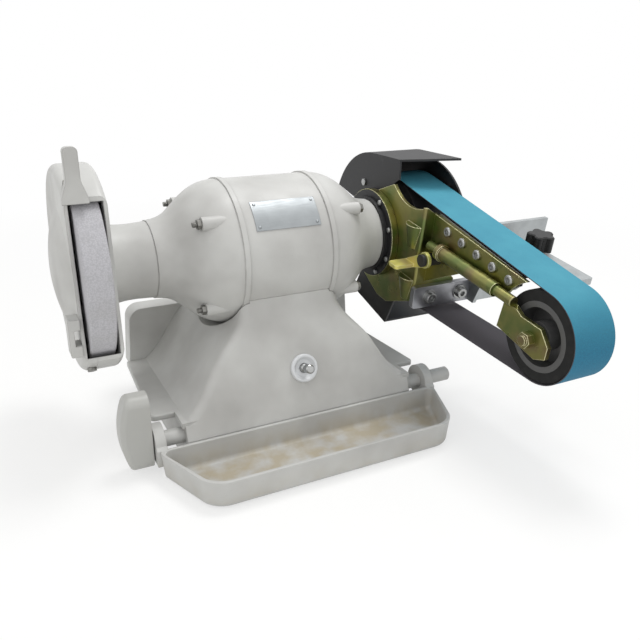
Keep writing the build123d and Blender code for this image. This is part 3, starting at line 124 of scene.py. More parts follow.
@dataclass(frozen=True)
class Finish:
    """One surface finish; each kind of finish adds its own detail nodes."""

    name: str
    colour: str
    roughness: float
    metallic: float = 0.0
    edge_mm: float = 0.6  # radius of the broken edges, shaded round

    def material(self) -> bpy.types.Material:
        """Make the material once and give it back on later calls.

        Returns:
            The finished material.
        """
        known = bpy.data.materials.get(self.name)
        if known:
            return known
        material = bpy.data.materials.new(self.name)
        material.use_nodes = True
        tree = material.node_tree
        shader = tree.nodes["Principled BSDF"]
        shader.inputs["Base Color"].default_value = linear(self.colour)
        shader.inputs["Roughness"].default_value = self.roughness
        shader.inputs["Metallic"].default_value = self.metallic
        coords = add_node(tree, "ShaderNodeTexCoord").outputs["Object"]
        self.detail(tree, shader, coords)
        return material

    def detail(self, tree: Tree, shader: Node, coords: Socket) -> None:
        """Add what makes this finish look like itself; a plain finish adds nothing."""

    def tones(self, tree: Tree, factor: Socket, one: object, other: object, most: float = 1.0) -> Socket:
        """Mix two colours by a factor.

        Args:
            tree: Node tree of the material.
            factor: Socket with the share of the second colour.
            one: First colour, as a constant or a socket.
            other: Second colour, as a constant or a socket.
            most: Share of the second colour where the factor is 1.

        Returns:
            Socket with the mixed colour.
        """
        if most < 1.0:
            factor = add_node(tree, "ShaderNodeMath", {0: factor, 1: most}, operation="MULTIPLY").outputs[0]
        mix = add_node(tree, "ShaderNodeMix", data_type="RGBA")
        for key, value in ((0, factor), (6, one), (7, other)):
            if isinstance(value, Socket):
                tree.links.new(value, mix.inputs[key])
            else:
                mix.inputs[key].default_value = value
        return mix.outputs[2]

    def patches(self, tree: Tree, coords: Socket, size_mm: float, low: float, high: float,
                depth: float = 3.0) -> Socket:
        """Soft patches of a given size.

        Args:
            tree: Node tree of the material.
            coords: Coordinates of the pattern.
            size_mm: Size of a patch.
            low: Noise level that gives 0.
            high: Noise level that gives 1.
            depth: Levels of finer noise.

        Returns:
            Socket from 0 to 1.
        """
        noise = add_node(tree, "ShaderNodeTexNoise",
                         {"Vector": coords, "Scale": per_metre(size_mm), "Detail": depth})
        span = add_node(tree, "ShaderNodeMapRange", {0: noise.outputs[0], 1: low, 2: high})
        return span.outputs[0]

    def eased(self, tree: Tree) -> Socket:
        """Normal that runs round the edges, as on a piece whose edges are broken."""
        bevel = add_node(tree, "ShaderNodeBevel", {"Radius": self.edge_mm * MM}, samples=EDGE_SAMPLES)
        return bevel.outputs[0]

    def edges(self, tree: Tree, coords: Socket, most: float,
              spared: float = 0.40) -> Socket:
        """Share of rubbed surface, patchy along the edges and nothing on the flats; on the yellow zinc it also
        carries a painted highlight.

        Args:
            tree: Node tree of the material.
            coords: Coordinates of the patches.
            most: Share on a fully rubbed edge.
            spared: Noise level up to which an edge isn't rubbed.

        Returns:
            Socket from 0 to the given share.
        """
        flat = add_node(tree, "ShaderNodeNewGeometry").outputs["Normal"]
        turn = add_node(tree, "ShaderNodeVectorMath", {0: self.eased(tree), 1: flat}, operation="DOT_PRODUCT")
        edge = add_node(tree, "ShaderNodeMapRange",
                        {0: turn.outputs["Value"], 1: RUB_STARTS, 2: RUB_FULL, 3: 0.0, 4: most})
        rubbed = self.patches(tree, coords, RUB_PATCH_MM, spared, spared + RUB_FADE, depth=4.0)
        share = add_node(tree, "ShaderNodeMath", {0: edge.outputs[0], 1: rubbed}, operation="MULTIPLY")
        return share.outputs[0]

    def uneven_gloss(self, tree: Tree, shader: Node, pattern: Socket, smoother: float, rougher: float,
                     low: float = 0.0, high: float = 1.0) -> None:
        """Let the roughness follow a pattern.

        Args:
            tree: Node tree of the material.
            shader: Shader that gets the roughness.
            pattern: Socket with the pattern.
            smoother: How far the roughness falls where the pattern is low.
            rougher: How far it rises where the pattern is high.
            low: Level of the pattern that counts as low.
            high: Level that counts as high.
        """
        rough = add_node(tree, "ShaderNodeMapRange",
                         {0: pattern, 1: low, 2: high, 3: self.roughness - smoother, 4: self.roughness + rougher})
        tree.links.new(rough.outputs[0], shader.inputs["Roughness"])

    def relief(self, tree: Tree, shader: Node, height: Socket,
               depth_mm: float, strength: float = 1.0) -> None:
        """Give the shader a bumpy surface of a real depth, on rounded edges.

        Args:
            tree: Node tree of the material.
            shader: Shader that gets the relief.
            height: Socket with the pattern.
            depth_mm: Depth of the relief.
            strength: Share of that depth that shows.
        """
        bump = add_node(tree, "ShaderNodeBump", {"Height": height, "Distance": depth_mm * MM,
                                                 "Strength": strength, "Normal": self.eased(tree)})
        tree.links.new(bump.outputs["Normal"], shader.inputs["Normal"])


@dataclass(frozen=True)
class SatinEnamel(Finish):
    """Satin enamel brushed over sand-cast iron: a chalky, drifting tone and the casting's soft pebbling."""

    shade: str = "#acaba8"
    rubbed: str = "#8c8a84"
    speck: str = "#8b897f"
    speck_mm: float = 1.6
    grain_mm: float = 2.6  # sand grain left by the mould, drawn coarser than it is so that it shows
    wave_mm: float = 18.0  # unevenness of the casting under the paint
    wave_weight: float = 3.0  # against the grain, in the relief
    drift_mm: float = 70.0
    gloss_mm: float = 25.0

    def detail(self, tree: Tree, shader: Node, coords: Socket) -> None:
        """Drifting tone, faint specks, rubbed edges and pebbled relief.

        Args:
            tree: Node tree of the material.
            shader: Shader that gets the finish.
            coords: Object coordinates.
        """
        drift = self.patches(tree, coords, self.drift_mm, low=0.40, high=0.72)
        tone = self.tones(tree, drift, linear(self.colour), linear(self.shade))
        specks = self.patches(tree, coords, self.speck_mm, low=0.66, high=0.74, depth=2.0)
        speckled = self.tones(tree, specks, tone, linear(self.speck), most=0.14)
        coated = self.residue(tree, coords, speckled)
        edged = self.tones(tree, self.edges(tree, coords, most=0.5), coated, linear(self.rubbed))
        tree.links.new(edged, shader.inputs["Base Color"])
        dull = self.patches(tree, coords, self.gloss_mm, low=0.3, high=0.7)
        self.uneven_gloss(tree, shader, dull, smoother=0.07, rougher=0.09)
        pebble = add_node(tree, "ShaderNodeTexNoise",
                          {"Vector": coords, "Scale": per_metre(self.grain_mm), "Detail": 2.0})
        wave = add_node(tree, "ShaderNodeTexNoise",
                        {"Vector": coords, "Scale": per_metre(self.wave_mm), "Detail": 1.0})
        both = add_node(tree, "ShaderNodeMath", {0: wave.outputs[0], 1: self.wave_weight,
                                                 2: pebble.outputs[0]}, operation="MULTIPLY_ADD")
        self.relief(tree, shader, both.outputs[0], depth_mm=0.16, strength=0.35)

    def residue(self, tree: Tree, coords: Socket, tone: Socket) -> Socket:
        """Colour left on the paint by use; clean paint passes its tone on."""
        return tone


@dataclass(frozen=True)
class DustyEnamel(SatinEnamel):
    """The same enamel in the tray, with dried rust-brown grinding dust on the floor and the low walls."""

    dust_and_sheen: str = "#a2916c"
    stain_mm: float = 22.0
    floor_mm: float = 5.0
    fade_mm: float = 26.0

    def residue(self, tree: Tree, coords: Socket, tone: Socket) -> Socket:
        """Brown dust that thins out up the inner walls.

        Args:
            tree: Node tree of the material.
            coords: Object coordinates.
            tone: Colour of the paint.

        Returns:
            Socket with paint and dust.
        """
        place = add_node(tree, "ShaderNodeSeparateXYZ", {0: coords})
        low = add_node(tree, "ShaderNodeMapRange",
                       {0: place.outputs[2], 1: self.fade_mm * MM, 2: self.floor_mm * MM, 3: 0.0, 4: 1.0})
        normal = add_node(tree, "ShaderNodeTexCoord").outputs["Normal"]
        facing = add_node(tree, "ShaderNodeSeparateXYZ", {0: normal})
        up = add_node(tree, "ShaderNodeMapRange", {0: facing.outputs[2], 1: -0.25, 2: 0.2})
        stain = self.patches(tree, coords, self.stain_mm, low=0.34, high=0.62)
        inside = add_node(tree, "ShaderNodeMath", {0: low.outputs[0], 1: up.outputs[0]}, operation="MULTIPLY")
        share = add_node(tree, "ShaderNodeMath", {0: inside.outputs[0], 1: stain}, operation="MULTIPLY")
        return self.tones(tree, share.outputs[0], tone, linear(self.dust_and_sheen), most=0.6)


@dataclass(frozen=True)
class YellowZinc(Finish):
    """Yellow-passivated zinc on pressed steel: gold film with green and rose patches, fine rolling marks."""

    green: str = "#6f7b4c"
    rose: str = "#87705c"
    # pale edges: partly rubbed wear, partly painted highlight along the sheet's edges
    pale_edge_wear_and_highlight: str = "#efeac0"
    patch_mm: float = 38.0
    rose_mm: float = 30.4
    gloss_mm: float = 9.0
    mark_mm: float = 1.2

    def detail(self, tree: Tree, shader: Node, coords: Socket) -> None:
        """Two drifting tints, edges painted pale as rubbed wear and painted highlight, and uneven gloss.

        Args:
            tree: Node tree of the material.
            shader: Shader that gets the finish.
            coords: Object coordinates.
        """
        green = self.patches(tree, coords, self.patch_mm, low=0.42, high=0.62)
        tint = self.tones(tree, green, linear(self.colour), linear(self.green))
        turned = add_node(tree, "ShaderNodeMapping", {"Vector": coords, "Location": (0.31, 0.17, 0.23)})
        rose = self.patches(tree, turned.outputs[0], self.rose_mm, low=0.52, high=0.70)
        film = self.tones(tree, rose, tint, linear(self.rose), most=0.7)
        # edges painted pale: partly rubbed wear, partly painted highlight
        edged = self.tones(tree, self.edges(tree, coords, most=0.9, spared=0.22), film, linear(self.pale_edge_wear_and_highlight))
        tree.links.new(edged, shader.inputs["Base Color"])
        cloud = self.patches(tree, coords, self.gloss_mm, low=0.3, high=0.7)
        self.uneven_gloss(tree, shader, cloud, smoother=0.08, rougher=0.10)
        marks = add_node(tree, "ShaderNodeTexNoise",
                         {"Vector": coords, "Scale": per_metre(self.mark_mm), "Detail": 2.0})
        self.relief(tree, shader, marks.outputs[0], depth_mm=0.03, strength=0.4)


@dataclass(frozen=True)
class PowderCoat(Finish):
    """Black powder coat baked on folded sheet: a fine even orange peel with rubbed grey scuffs."""

    scuff: str = "#3f3f41"
    rubbed: str = "#6c6b69"
    scuff_mm: float = 14.0
    peel_mm: float = 1.1

    def detail(self, tree: Tree, shader: Node, coords: Socket) -> None:
        """Orange peel, sparse scuffs and rubbed edges.

        Args:
            tree: Node tree of the material.
            shader: Shader that gets the finish.
            coords: Object coordinates.
        """
        scuffs = self.patches(tree, coords, self.scuff_mm, low=0.60, high=0.80, depth=6.0)
        coat = self.tones(tree, scuffs, linear(self.colour), linear(self.scuff), most=0.5)
        edged = self.tones(tree, self.edges(tree, coords, most=0.5), coat, linear(self.rubbed))
        tree.links.new(edged, shader.inputs["Base Color"])
        peel = add_node(tree, "ShaderNodeTexNoise",
                        {"Vector": coords, "Scale": per_metre(self.peel_mm), "Detail": 1.0})
        self.relief(tree, shader, peel.outputs[0], depth_mm=0.05, strength=0.5)


@dataclass(frozen=True)
class BeltGrit(Finish):
    """Zirconia grit bonded to cloth, in a blue size coat: countless dull grains, and a painted pale sheen on the
    upper run.
    """

    # painted sheen: the pale blue painted on the upper run, for the light it catches at a glancing angle
    dust_and_sheen: str = "#4798ab"
    sheen_patch_mm: float = 30.0
    grain: str = "#17556f"
    grain_mm: float = 1.1  # real grain is about 0.4 mm, drawn coarser so that it shows
    splice: str = "#1f566b"
    splice_at_mm: float = 300.0  # along the belt
    splice_slope: float = 0.6
    splice_half_mm: float = 1.0
    nose_sheen_end_mm: float = 65.0  # along the belt, where the painted sheen has faded out round the nose
    drum_sheen_start_mm: float = 590.0  # where the drum turns the belt up again and the painted sheen starts
    drum_sheen_full_mm: float = 655.0

    def detail(self, tree: Tree, shader: Node, coords: Socket) -> None:
        """Grains, a painted pale sheen on the upper run, the slanting splice and a gritty relief.

        Args:
            tree: Node tree of the material.
            shader: Shader that gets the finish.
            coords: Object coordinates.
        """
        grains = add_node(tree, "ShaderNodeTexVoronoi", {"Vector": coords, "Scale": per_metre(self.grain_mm)})
        spots = add_node(tree, "ShaderNodeMapRange",
                         {0: grains.outputs["Distance"], 1: 0.2, 2: 0.6, 3: 0.0, 4: 0.45})
        tone = self.tones(tree, spots.outputs[0], linear(self.colour), linear(self.grain))
        # painted sheen: the upper run is painted paler in soft patches, for the light it catches
        drift = self.patches(tree, coords, self.sheen_patch_mm, low=0.3, high=0.7)
        sheen_level = add_node(tree, "ShaderNodeMapRange", {0: drift, 3: 0.62, 4: 0.88})
        share = add_node(tree, "ShaderNodeMath", {0: self.painted_sheen_run(tree), 1: sheen_level.outputs[0]},
                         operation="MULTIPLY")
        face = self.tones(tree, share.outputs[0], tone, linear(self.dust_and_sheen))
        joined = self.tones(tree, self.seam(tree), face, linear(self.splice))
        tree.links.new(joined, shader.inputs["Base Color"])
        self.relief(tree, shader, grains.outputs["Distance"], depth_mm=0.12, strength=0.6)

    def unrolled(self, tree: Tree) -> Node:
        """Node with the distance along the belt as X and across it as Y, in metres."""
        laid_flat = add_node(tree, "ShaderNodeUVMap", uv_map="unrolled")
        return add_node(tree, "ShaderNodeSeparateXYZ", {0: laid_flat.outputs[0]})

    def painted_sheen_run(self, tree: Tree) -> Socket:
        """Share of painted sheen: 1 on the run that faces up, falling to 0 round the nose and the drum.

        Args:
            tree: Node tree of the material.

        Returns:
            Socket from 0 to 1.
        """
        along = self.unrolled(tree).outputs[0]
        nose = add_node(tree, "ShaderNodeMapRange",
                        {0: along, 1: 0.0, 2: self.nose_sheen_end_mm * MM, 3: 1.0, 4: 0.0})
        drum = add_node(tree, "ShaderNodeMapRange",
                        {0: along, 1: self.drum_sheen_start_mm * MM, 2: self.drum_sheen_full_mm * MM})
        top = add_node(tree, "ShaderNodeMath", {0: nose.outputs[0], 1: drum.outputs[0]}, operation="MAXIMUM")
        return top.outputs[0]

    def seam(self, tree: Tree) -> Socket:
        """Share that is 1 on the slanting line where the belt's ends are spliced.

        Args:
            tree: Node tree of the material.

        Returns:
            Socket from 0 to 1.
        """
        unrolled = self.unrolled(tree)
        slanted = add_node(tree, "ShaderNodeMath", {0: unrolled.outputs[1], 1: self.splice_slope,
                                                    2: unrolled.outputs[0]}, operation="MULTIPLY_ADD")
        off = add_node(tree, "ShaderNodeMath", {0: slanted.outputs[0], 1: self.splice_at_mm * MM},
                       operation="SUBTRACT")
        near = add_node(tree, "ShaderNodeMath", {0: off.outputs[0]}, operation="ABSOLUTE")
        return add_node(tree, "ShaderNodeMapRange", {0: near.outputs[0], 1: 2 * self.splice_half_mm * MM,
                                                     2: self.splice_half_mm * MM}).outputs[0]


@dataclass(frozen=True)
class WovenBacking(Finish):
    """Resin-filled cotton twill on the belt's back: dark violet grey with a fine slanting rib."""

    rib: str = "#57545a"
    thread_mm: float = 1.4  # real thread is about 0.6 mm, drawn coarser so that it shows
    twill: float = 0.6  # slant of the ribs, in radians

    def detail(self, tree: Tree, shader: Node, coords: Socket) -> None:
        """Slanting ribs across the cloth, laid out on the unrolled belt.

        Args:
            tree: Node tree of the material.
            shader: Shader that gets the finish.
            coords: Object coordinates.
        """
        unrolled = add_node(tree, "ShaderNodeUVMap", uv_map="unrolled").outputs[0]
        turned = add_node(tree, "ShaderNodeMapping", {"Vector": unrolled, "Rotation": (0.0, 0.0, self.twill)})
        scale = per_metre(self.thread_mm) * WAVE_BAND
        ribs = add_node(tree, "ShaderNodeTexWave",
                        {"Vector": turned.outputs[0], "Scale": scale, "Distortion": 0.6})
        cloth = self.tones(tree, ribs.outputs[1], linear(self.colour), linear(self.rib))
        tree.links.new(cloth, shader.inputs["Base Color"])
        self.relief(tree, shader, ribs.outputs[1], depth_mm=0.08, strength=0.5)


@dataclass(frozen=True)
class MouldedRubber(Finish):
    """Moulded contact-wheel rubber: dull black with a greyed, scuffed bloom."""

    bloom: str = "#191918"
    bloom_mm: float = 8.0
    skin_mm: float = 1.0

    def detail(self, tree: Tree, shader: Node, coords: Socket) -> None:
        """Grey bloom and a slightly rough skin.

        Args:
            tree: Node tree of the material.
            shader: Shader that gets the finish.
            coords: Object coordinates.
        """
        bloom = self.patches(tree, coords, self.bloom_mm, low=0.42, high=0.72, depth=5.0)
        tone = self.tones(tree, bloom, linear(self.colour), linear(self.bloom))
        tree.links.new(tone, shader.inputs["Base Color"])
        skin = add_node(tree, "ShaderNodeTexNoise",
                        {"Vector": coords, "Scale": per_metre(self.skin_mm), "Detail": 3.0})
        self.relief(tree, shader, skin.outputs[0], depth_mm=0.10, strength=0.5)


class Lay(Enum):
    """Direction of tool marks on a metal piece, as a stretch of the pattern along X, Y and Z."""

    ALONG_X = (0.04, 1.0, 1.0)
    ALONG_Y = (1.0, 0.04, 1.0)
    EVEN = (1.0, 1.0, 1.0)


@dataclass(frozen=True)
class WorkedMetal(Finish):
    """Bare or plated metal with the lines its tool left: sawn, turned, rolled or brushed."""

    smudge: str = "#6f7072"
    lay: Lay = Lay.EVEN
    line_mm: float = 0.7
    smudge_mm: float = 16.0
    smudged: float = 0.5

    def detail(self, tree: Tree, shader: Node, coords: Socket) -> None:
        """Tool lines in the gloss and oily smudges in the tone.

        Args:
            tree: Node tree of the material.
            shader: Shader that gets the finish.
            coords: Object coordinates.
        """
        stretched = add_node(tree, "ShaderNodeMapping", {"Vector": coords, "Scale": self.lay.value})
        lines = add_node(tree, "ShaderNodeTexNoise",
                         {"Vector": stretched.outputs[0], "Scale": per_metre(self.line_mm), "Detail": 3.0})
        smear = self.patches(tree, coords, self.smudge_mm, low=0.40, high=0.75, depth=4.0)
        tone = self.tones(tree, smear, linear(self.colour), linear(self.smudge), most=self.smudged)
        tree.links.new(tone, shader.inputs["Base Color"])
        self.uneven_gloss(tree, shader, lines.outputs[0], smoother=0.10, rougher=0.12, low=0.3, high=0.7)
        self.relief(tree, shader, lines.outputs[0], depth_mm=0.02, strength=0.5)


@dataclass(frozen=True)
class VitrifiedStone(Finish):
    """Vitrified aluminium-oxide wheel: pale grey, open-pored, with dark and bright grains."""

    grain: str = "#8a8a8d"
    grain_mm: float = 1.5  # real grit is about 0.6 mm, drawn coarser so that it shows
    dirt: str = "#9f9e9c"
    dirt_mm: float = 24.0
    pore_mm: float = 1.8

    def detail(self, tree: Tree, shader: Node, coords: Socket) -> None:
        """Grains, a drifting tone and deep pores.

        Args:
            tree: Node tree of the material.
            shader: Shader that gets the finish.
            coords: Object coordinates.
        """
        grains = add_node(tree, "ShaderNodeTexVoronoi", {"Vector": coords, "Scale": per_metre(self.grain_mm)})
        spots = add_node(tree, "ShaderNodeMapRange",
                         {0: grains.outputs["Distance"], 1: 0.25, 2: 0.75, 3: 0.0, 4: 0.35})
        tone = self.tones(tree, spots.outputs[0], linear(self.colour), linear(self.grain))
        drift = self.patches(tree, coords, self.dirt_mm, low=0.45, high=0.75)
        used = self.tones(tree, drift, tone, linear(self.dirt), most=0.4)
        tree.links.new(used, shader.inputs["Base Color"])
        pores = add_node(tree, "ShaderNodeTexNoise",
                         {"Vector": coords, "Scale": per_metre(self.pore_mm), "Detail": 4.0})
        self.relief(tree, shader, pores.outputs[0], depth_mm=0.4, strength=0.45)


@dataclass(frozen=True)
class MouldedPlastic(Finish):
    """Injection-moulded plastic with a fine spark-eroded grain."""

    grain_mm: float = 0.9

    def detail(self, tree: Tree, shader: Node, coords: Socket) -> None:
        """Fine grain in relief and gloss.

        Args:
            tree: Node tree of the material.
            shader: Shader that gets the finish.
            coords: Object coordinates.
        """
        grain = add_node(tree, "ShaderNodeTexNoise",
                         {"Vector": coords, "Scale": per_metre(self.grain_mm), "Detail": 2.0})
        self.uneven_gloss(tree, shader, grain.outputs[0], smoother=0.06, rougher=0.06, low=0.3, high=0.7)
        self.relief(tree, shader, grain.outputs[0], depth_mm=0.03, strength=0.4)


ENAMEL = SatinEnamel("satin_enamel_on_cast_iron", "#c1c1be", 0.48, edge_mm=1.2)
TRAY_ENAMEL = DustyEnamel("dusty_enamel_on_cast_iron", "#bdbdba", 0.50, edge_mm=1.0)
YELLOW_ZINC = YellowZinc("yellow_passivated_zinc", "#918d58", 0.35, 1.0, edge_mm=1.1)
# painted light: a paler, brighter copy of the yellow zinc for the lever, for the light its upward face catches
LIT_YELLOW_ZINC = YellowZinc("yellow_zinc_painted_lit", "#ddd47a", 0.40, 0.6, edge_mm=0.9, green="#c3c46e",
                          rose="#cdb783")
POWDER = PowderCoat("black_powder_coat", "#1c1c1e", 0.52)
GRIT = BeltGrit("zirconia_grit_on_cloth", "#1d7493", 0.80)
BACKING = WovenBacking("resin_filled_twill", "#464349", 0.75)
RUBBER = MouldedRubber("moulded_contact_rubber", "#0c0c0c", 0.80)
NYLON_HUB = MouldedPlastic("glass_filled_nylon", "#545454", 0.42)
BRIGHT_ZINC = WorkedMetal("bright_zinc_on_steel", "#aaabaa", 0.32, 1.0, smudged=0.45)
DULL_ZINC = WorkedMetal("weathered_zinc_on_steel", "#8d8c88", 0.45, 1.0, smudge="#5f5e5b")
ROLLED_BAR = WorkedMetal("cold_rolled_steel_bar", "#a4a5a9", 0.40, 1.0, lay=Lay.ALONG_X)
FLAT_ALUMINIUM = WorkedMetal("sawn_aluminium_flat", "#b0b4b5", 0.42, 1.0, smudge="#8f9293", lay=Lay.ALONG_Y)
TURNED_STEEL = WorkedMetal("turned_steel", "#9a9b9d", 0.30, 1.0)
CORE_STEEL = WorkedMetal("lamination_steel", "#6a6a6c", 0.50, 1.0, lay=Lay.ALONG_Y)
PLATE_ALUMINIUM = WorkedMetal("blank_aluminium_plate", "#9fa3a5", 0.48, 1.0, smudge="#8d9193",
                              lay=Lay.ALONG_X)
STONE = VitrifiedStone("vitrified_aluminium_oxide", "#bab9bd", 0.92)
WHITE_NYLON = MouldedPlastic("white_nylon", "#d6d8da", 0.35)
GREY_PHENOLIC = MouldedPlastic("grey_phenolic", "#acaca8", 0.40)
BLACK_PHENOLIC = MouldedPlastic("black_phenolic", "#0b0b0b", 0.46)


class RepeatTree:
    """Geometry Nodes trees for what repeats on the machine: rivet heads and screw threads."""

    def __init__(self, name: str, sizes: dict[str, float]) -> None:
        """Start a tree with named size inputs.

        Args:
            name: Name of the tree.
            sizes: Input name to its value in metres.
        """
        self.tree = bpy.data.node_groups.new(name, "GeometryNodeTree")
        face = self.tree.interface
        face.new_socket("Geometry", in_out="INPUT", socket_type="NodeSocketGeometry")
        face.new_socket("Geometry", in_out="OUTPUT", socket_type="NodeSocketGeometry")
        self.sizes = sizes
        self.keys = {}
        for size in sizes:
            self.keys[size] = face.new_socket(size, in_out="INPUT", socket_type="NodeSocketFloat").identifier
        self.source = self.tree.nodes.new("NodeGroupInput").outputs
        self.sink = self.tree.nodes.new("NodeGroupOutput")

    def end(self, shape: Socket, finish: Finish) -> None:
        """Close the tree with real geometry and its material.

        Args:
            shape: Geometry that the tree made.
            finish: Finish that it gets.
        """
        real = add_node(self.tree, "GeometryNodeRealizeInstances", {0: shape})
        dressed = add_node(self.tree, "GeometryNodeSetMaterial",
                           {0: real.outputs[0], "Material": finish.material()})
        self.tree.links.new(dressed.outputs[0], self.sink.inputs[0])

    def run(self, name: str, places: Sequence[Point], direction: Point) -> bpy.types.Object:
        """Evaluate the tree at each place and keep the result as a plain mesh.

        Args:
            name: Name of the new piece.
            places: Places of the repeats in millimetres.
            direction: Direction that the tree's Z turns to.

        Returns:
            An object at the origin with the finished mesh.
        """
        turn = Vector((0.0, 0.0, 1.0)).rotation_difference(Vector(direction).normalized()).to_matrix()
        seed = bpy.data.meshes.new(name + "_places")
        seed.from_pydata([turn.inverted() @ (Vector(place) * MM) for place in places], [], [])
        holder = bpy.data.objects.new(name, seed)
        bpy.context.scene.collection.objects.link(holder)
        modifier = holder.modifiers.new("repeat", "NODES")
        modifier.node_group = self.tree
        for size, value in self.sizes.items():
            modifier[self.keys[size]] = value
        graph = bpy.context.evaluated_depsgraph_get()
        mesh = bpy.data.meshes.new_from_object(holder.evaluated_get(graph), depsgraph=graph)
        holder.modifiers.remove(modifier)
        mesh.transform(turn.to_4x4())
        mesh.name = name
        holder.data = mesh
        bpy.data.meshes.remove(seed)
        return holder


def domes(finish: Finish, radius: float, height: float) -> RepeatTree:
    """Tree that sets a low domed rivet head, pointing along Z, on each point.

    Args:
        finish: Finish of the heads.
        radius: Radius of a head in metres.
        height: Height of a head in metres.

    Returns:
        The tree.
    """
    work = RepeatTree("rivet_heads", {"Radius": radius, "Height": height})
    ball = add_node(work.tree, "GeometryNodeMeshUVSphere", {"Segments": 20, "Rings": 10, "Radius": 1.0})
    size = add_node(work.tree, "ShaderNodeCombineXYZ", {0: work.source["Radius"], 1: work.source["Radius"],
                                                        2: work.source["Height"]})
    flat = add_node(work.tree, "GeometryNodeTransform", {0: ball.outputs[0], "Scale": size.outputs[0]})
    smooth = add_node(work.tree, "GeometryNodeSetShadeSmooth", {0: flat.outputs[0]})
    set_out = add_node(work.tree, "GeometryNodeInstanceOnPoints",
                       {0: work.source[0], "Instance": smooth.outputs[0]})
    work.end(set_out.outputs[0], finish)
    return work


def thread(finish: Finish, radius: float, length: float, pitch: float) -> RepeatTree:
    """Tree that winds a screw thread along Z, from 0 to its length, at each point.

    Args:
        finish: Finish of the thread.
        radius: Radius of the bare rod in metres.
        length: Threaded length in metres.
        pitch: Distance between turns in metres.

    Returns:
        The tree.
    """
    work = RepeatTree("screw_thread", {"Radius": radius, "Length": length, "Pitch": pitch})
    turns = add_node(work.tree, "ShaderNodeMath", {0: work.source["Length"], 1: work.source["Pitch"]},
                     operation="DIVIDE")
    spiral = add_node(work.tree, "GeometryNodeCurveSpiral",
                      {"Resolution": 20, "Rotations": turns.outputs[0], "Start Radius": work.source["Radius"],
                       "End Radius": work.source["Radius"], "Height": work.source["Length"]})
    ridge = add_node(work.tree, "ShaderNodeMath", {0: work.source["Pitch"], 1: RIDGE_SHARE},
                     operation="MULTIPLY")
    profile = add_node(work.tree, "GeometryNodeCurvePrimitiveCircle",
                       {"Resolution": 4, "Radius": ridge.outputs[0]})
    wound = add_node(work.tree, "GeometryNodeCurveToMesh",
                     {0: spiral.outputs[0], "Profile Curve": profile.outputs[0], "Fill Caps": True})
    set_out = add_node(work.tree, "GeometryNodeInstanceOnPoints",
                       {0: work.source[0], "Instance": wound.outputs[0]})
    work.end(set_out.outputs[0], finish)
    return work


@dataclass
class Assembly:
    """Pieces that move with one body, and how they are dressed."""

    body: str

    def dress(self, finish: Finish, *nodes: str) -> None:
        """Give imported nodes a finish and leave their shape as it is.

        Args:
            finish: Finish that the nodes get.
            *nodes: Names of the nodes.
        """
        for name in nodes:
            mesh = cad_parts[name].data
            mesh.materials.clear()
            mesh.materials.append(finish.material())
            LOG.info("%s: %s", name, finish.name)

    def seat(self, piece: bpy.types.Object, slot: str, *stands_for: str) -> None:
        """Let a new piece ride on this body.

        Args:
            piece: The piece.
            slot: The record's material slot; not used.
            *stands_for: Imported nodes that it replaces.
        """
        if stands_for:
            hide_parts(*stands_for)
        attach(piece, self.body)
        LOG.info("%s on %s", piece.name, self.body)


@dataclass
class Grinder(Assembly):
    """Base casting, motor and stone-wheel guard, all under one coat of enamel."""

    barrel_radius: float = 79.5
    plate_half: float = 37.0
    plate_low: float = 27.0
    plate_high: float = 51.5
    plate_thickness: float = 0.8
    rivet_inset: float = 4.0
    rivet_radius: float = 1.7
    rivet_height: float = 0.9
    bolt_circle: float = 71.5
    bolt_angles: tuple[float, ...] = (40.0, -40.0, 140.0, 220.0)
    nut_face: float = -95.6
    bolt_radius: float = 2.5
    bolt_end: float = 4.4
    bolt_pitch: float = 0.9

    def build(self) -> None:
        """Dress the castings, rivet the bare plate and thread the tie bolts."""
        self.dress(ENAMEL, "base_casting", "motor_barrel", "left_end_bell", "right_end_bell", "wheel_guard",
                   "guard_cover", "guard_strap", "visor_post", "tray_studs")
        self.dress(CORE_STEEL, "stator_core")
        self.dress(TURNED_STEEL, "spindle_bearings")
        # black on the adapter ring: partly its own dark finish, partly painted shade for the dark gap behind the
        # bell's neck
        self.dress(POWDER, "adapter_ring")
        self.dress(DULL_ZINC, "base_cover", "tie_bolts", "guard_screws")
        self.dress(PLATE_ALUMINIUM, "nameplate")
        self.dress(WHITE_NYLON, "switch_bezel")
        self.rivets()
        self.bolt_ends()

    def rivets(self) -> None:
        """Four small drive rivets in the corners of the plate."""
        inset = math.degrees(self.rivet_inset / self.barrel_radius)
        radius = self.barrel_radius + self.plate_thickness
        heads = domes(PLATE_ALUMINIUM, self.rivet_radius * MM, self.rivet_height * MM)
        low, high = self.plate_low + inset, self.plate_high - inset
        for index, (side, angle) in enumerate(((-1, low), (1, low), (-1, high), (1, high))):
            outwards = (0.0, -math.cos(math.radians(angle)), math.sin(math.radians(angle)))
            place = (side * (self.plate_half - self.rivet_inset), radius * outwards[1],
                     SPINDLE_HEIGHT + radius * outwards[2])
            self.seat(heads.run(f"plate_rivet_{index + 1}", [place], outwards), "aluminium")

    def bolt_ends(self) -> None:
        """Threads on the tie bolts' ends, beyond their nuts."""
        places = []
        for angle in self.bolt_angles:
            across = -self.bolt_circle * math.cos(math.radians(angle))
            up = self.bolt_circle * math.sin(math.radians(angle))
            places.append((self.nut_face, across, SPINDLE_HEIGHT + up))
        tree = thread(DULL_ZINC, self.bolt_radius * MM, self.bolt_end * MM, self.bolt_pitch * MM)
        self.seat(tree.run("tie_bolt_threads", places, (-1.0, 0.0, 0.0)), "bare_steel")


@dataclass
class SpindleSet(Assembly):
    """Everything that turns with the spindle."""

    def build(self) -> None:
        """Dress the turning pieces."""
        self.dress(TURNED_STEEL, "spindle", "wheel_flanges", "wheel_nut", "drum_nut")
        self.dress(CORE_STEEL, "rotor_core")
        self.dress(STONE, "grinding_wheel")
        self.dress(POWDER, "drive_drum")


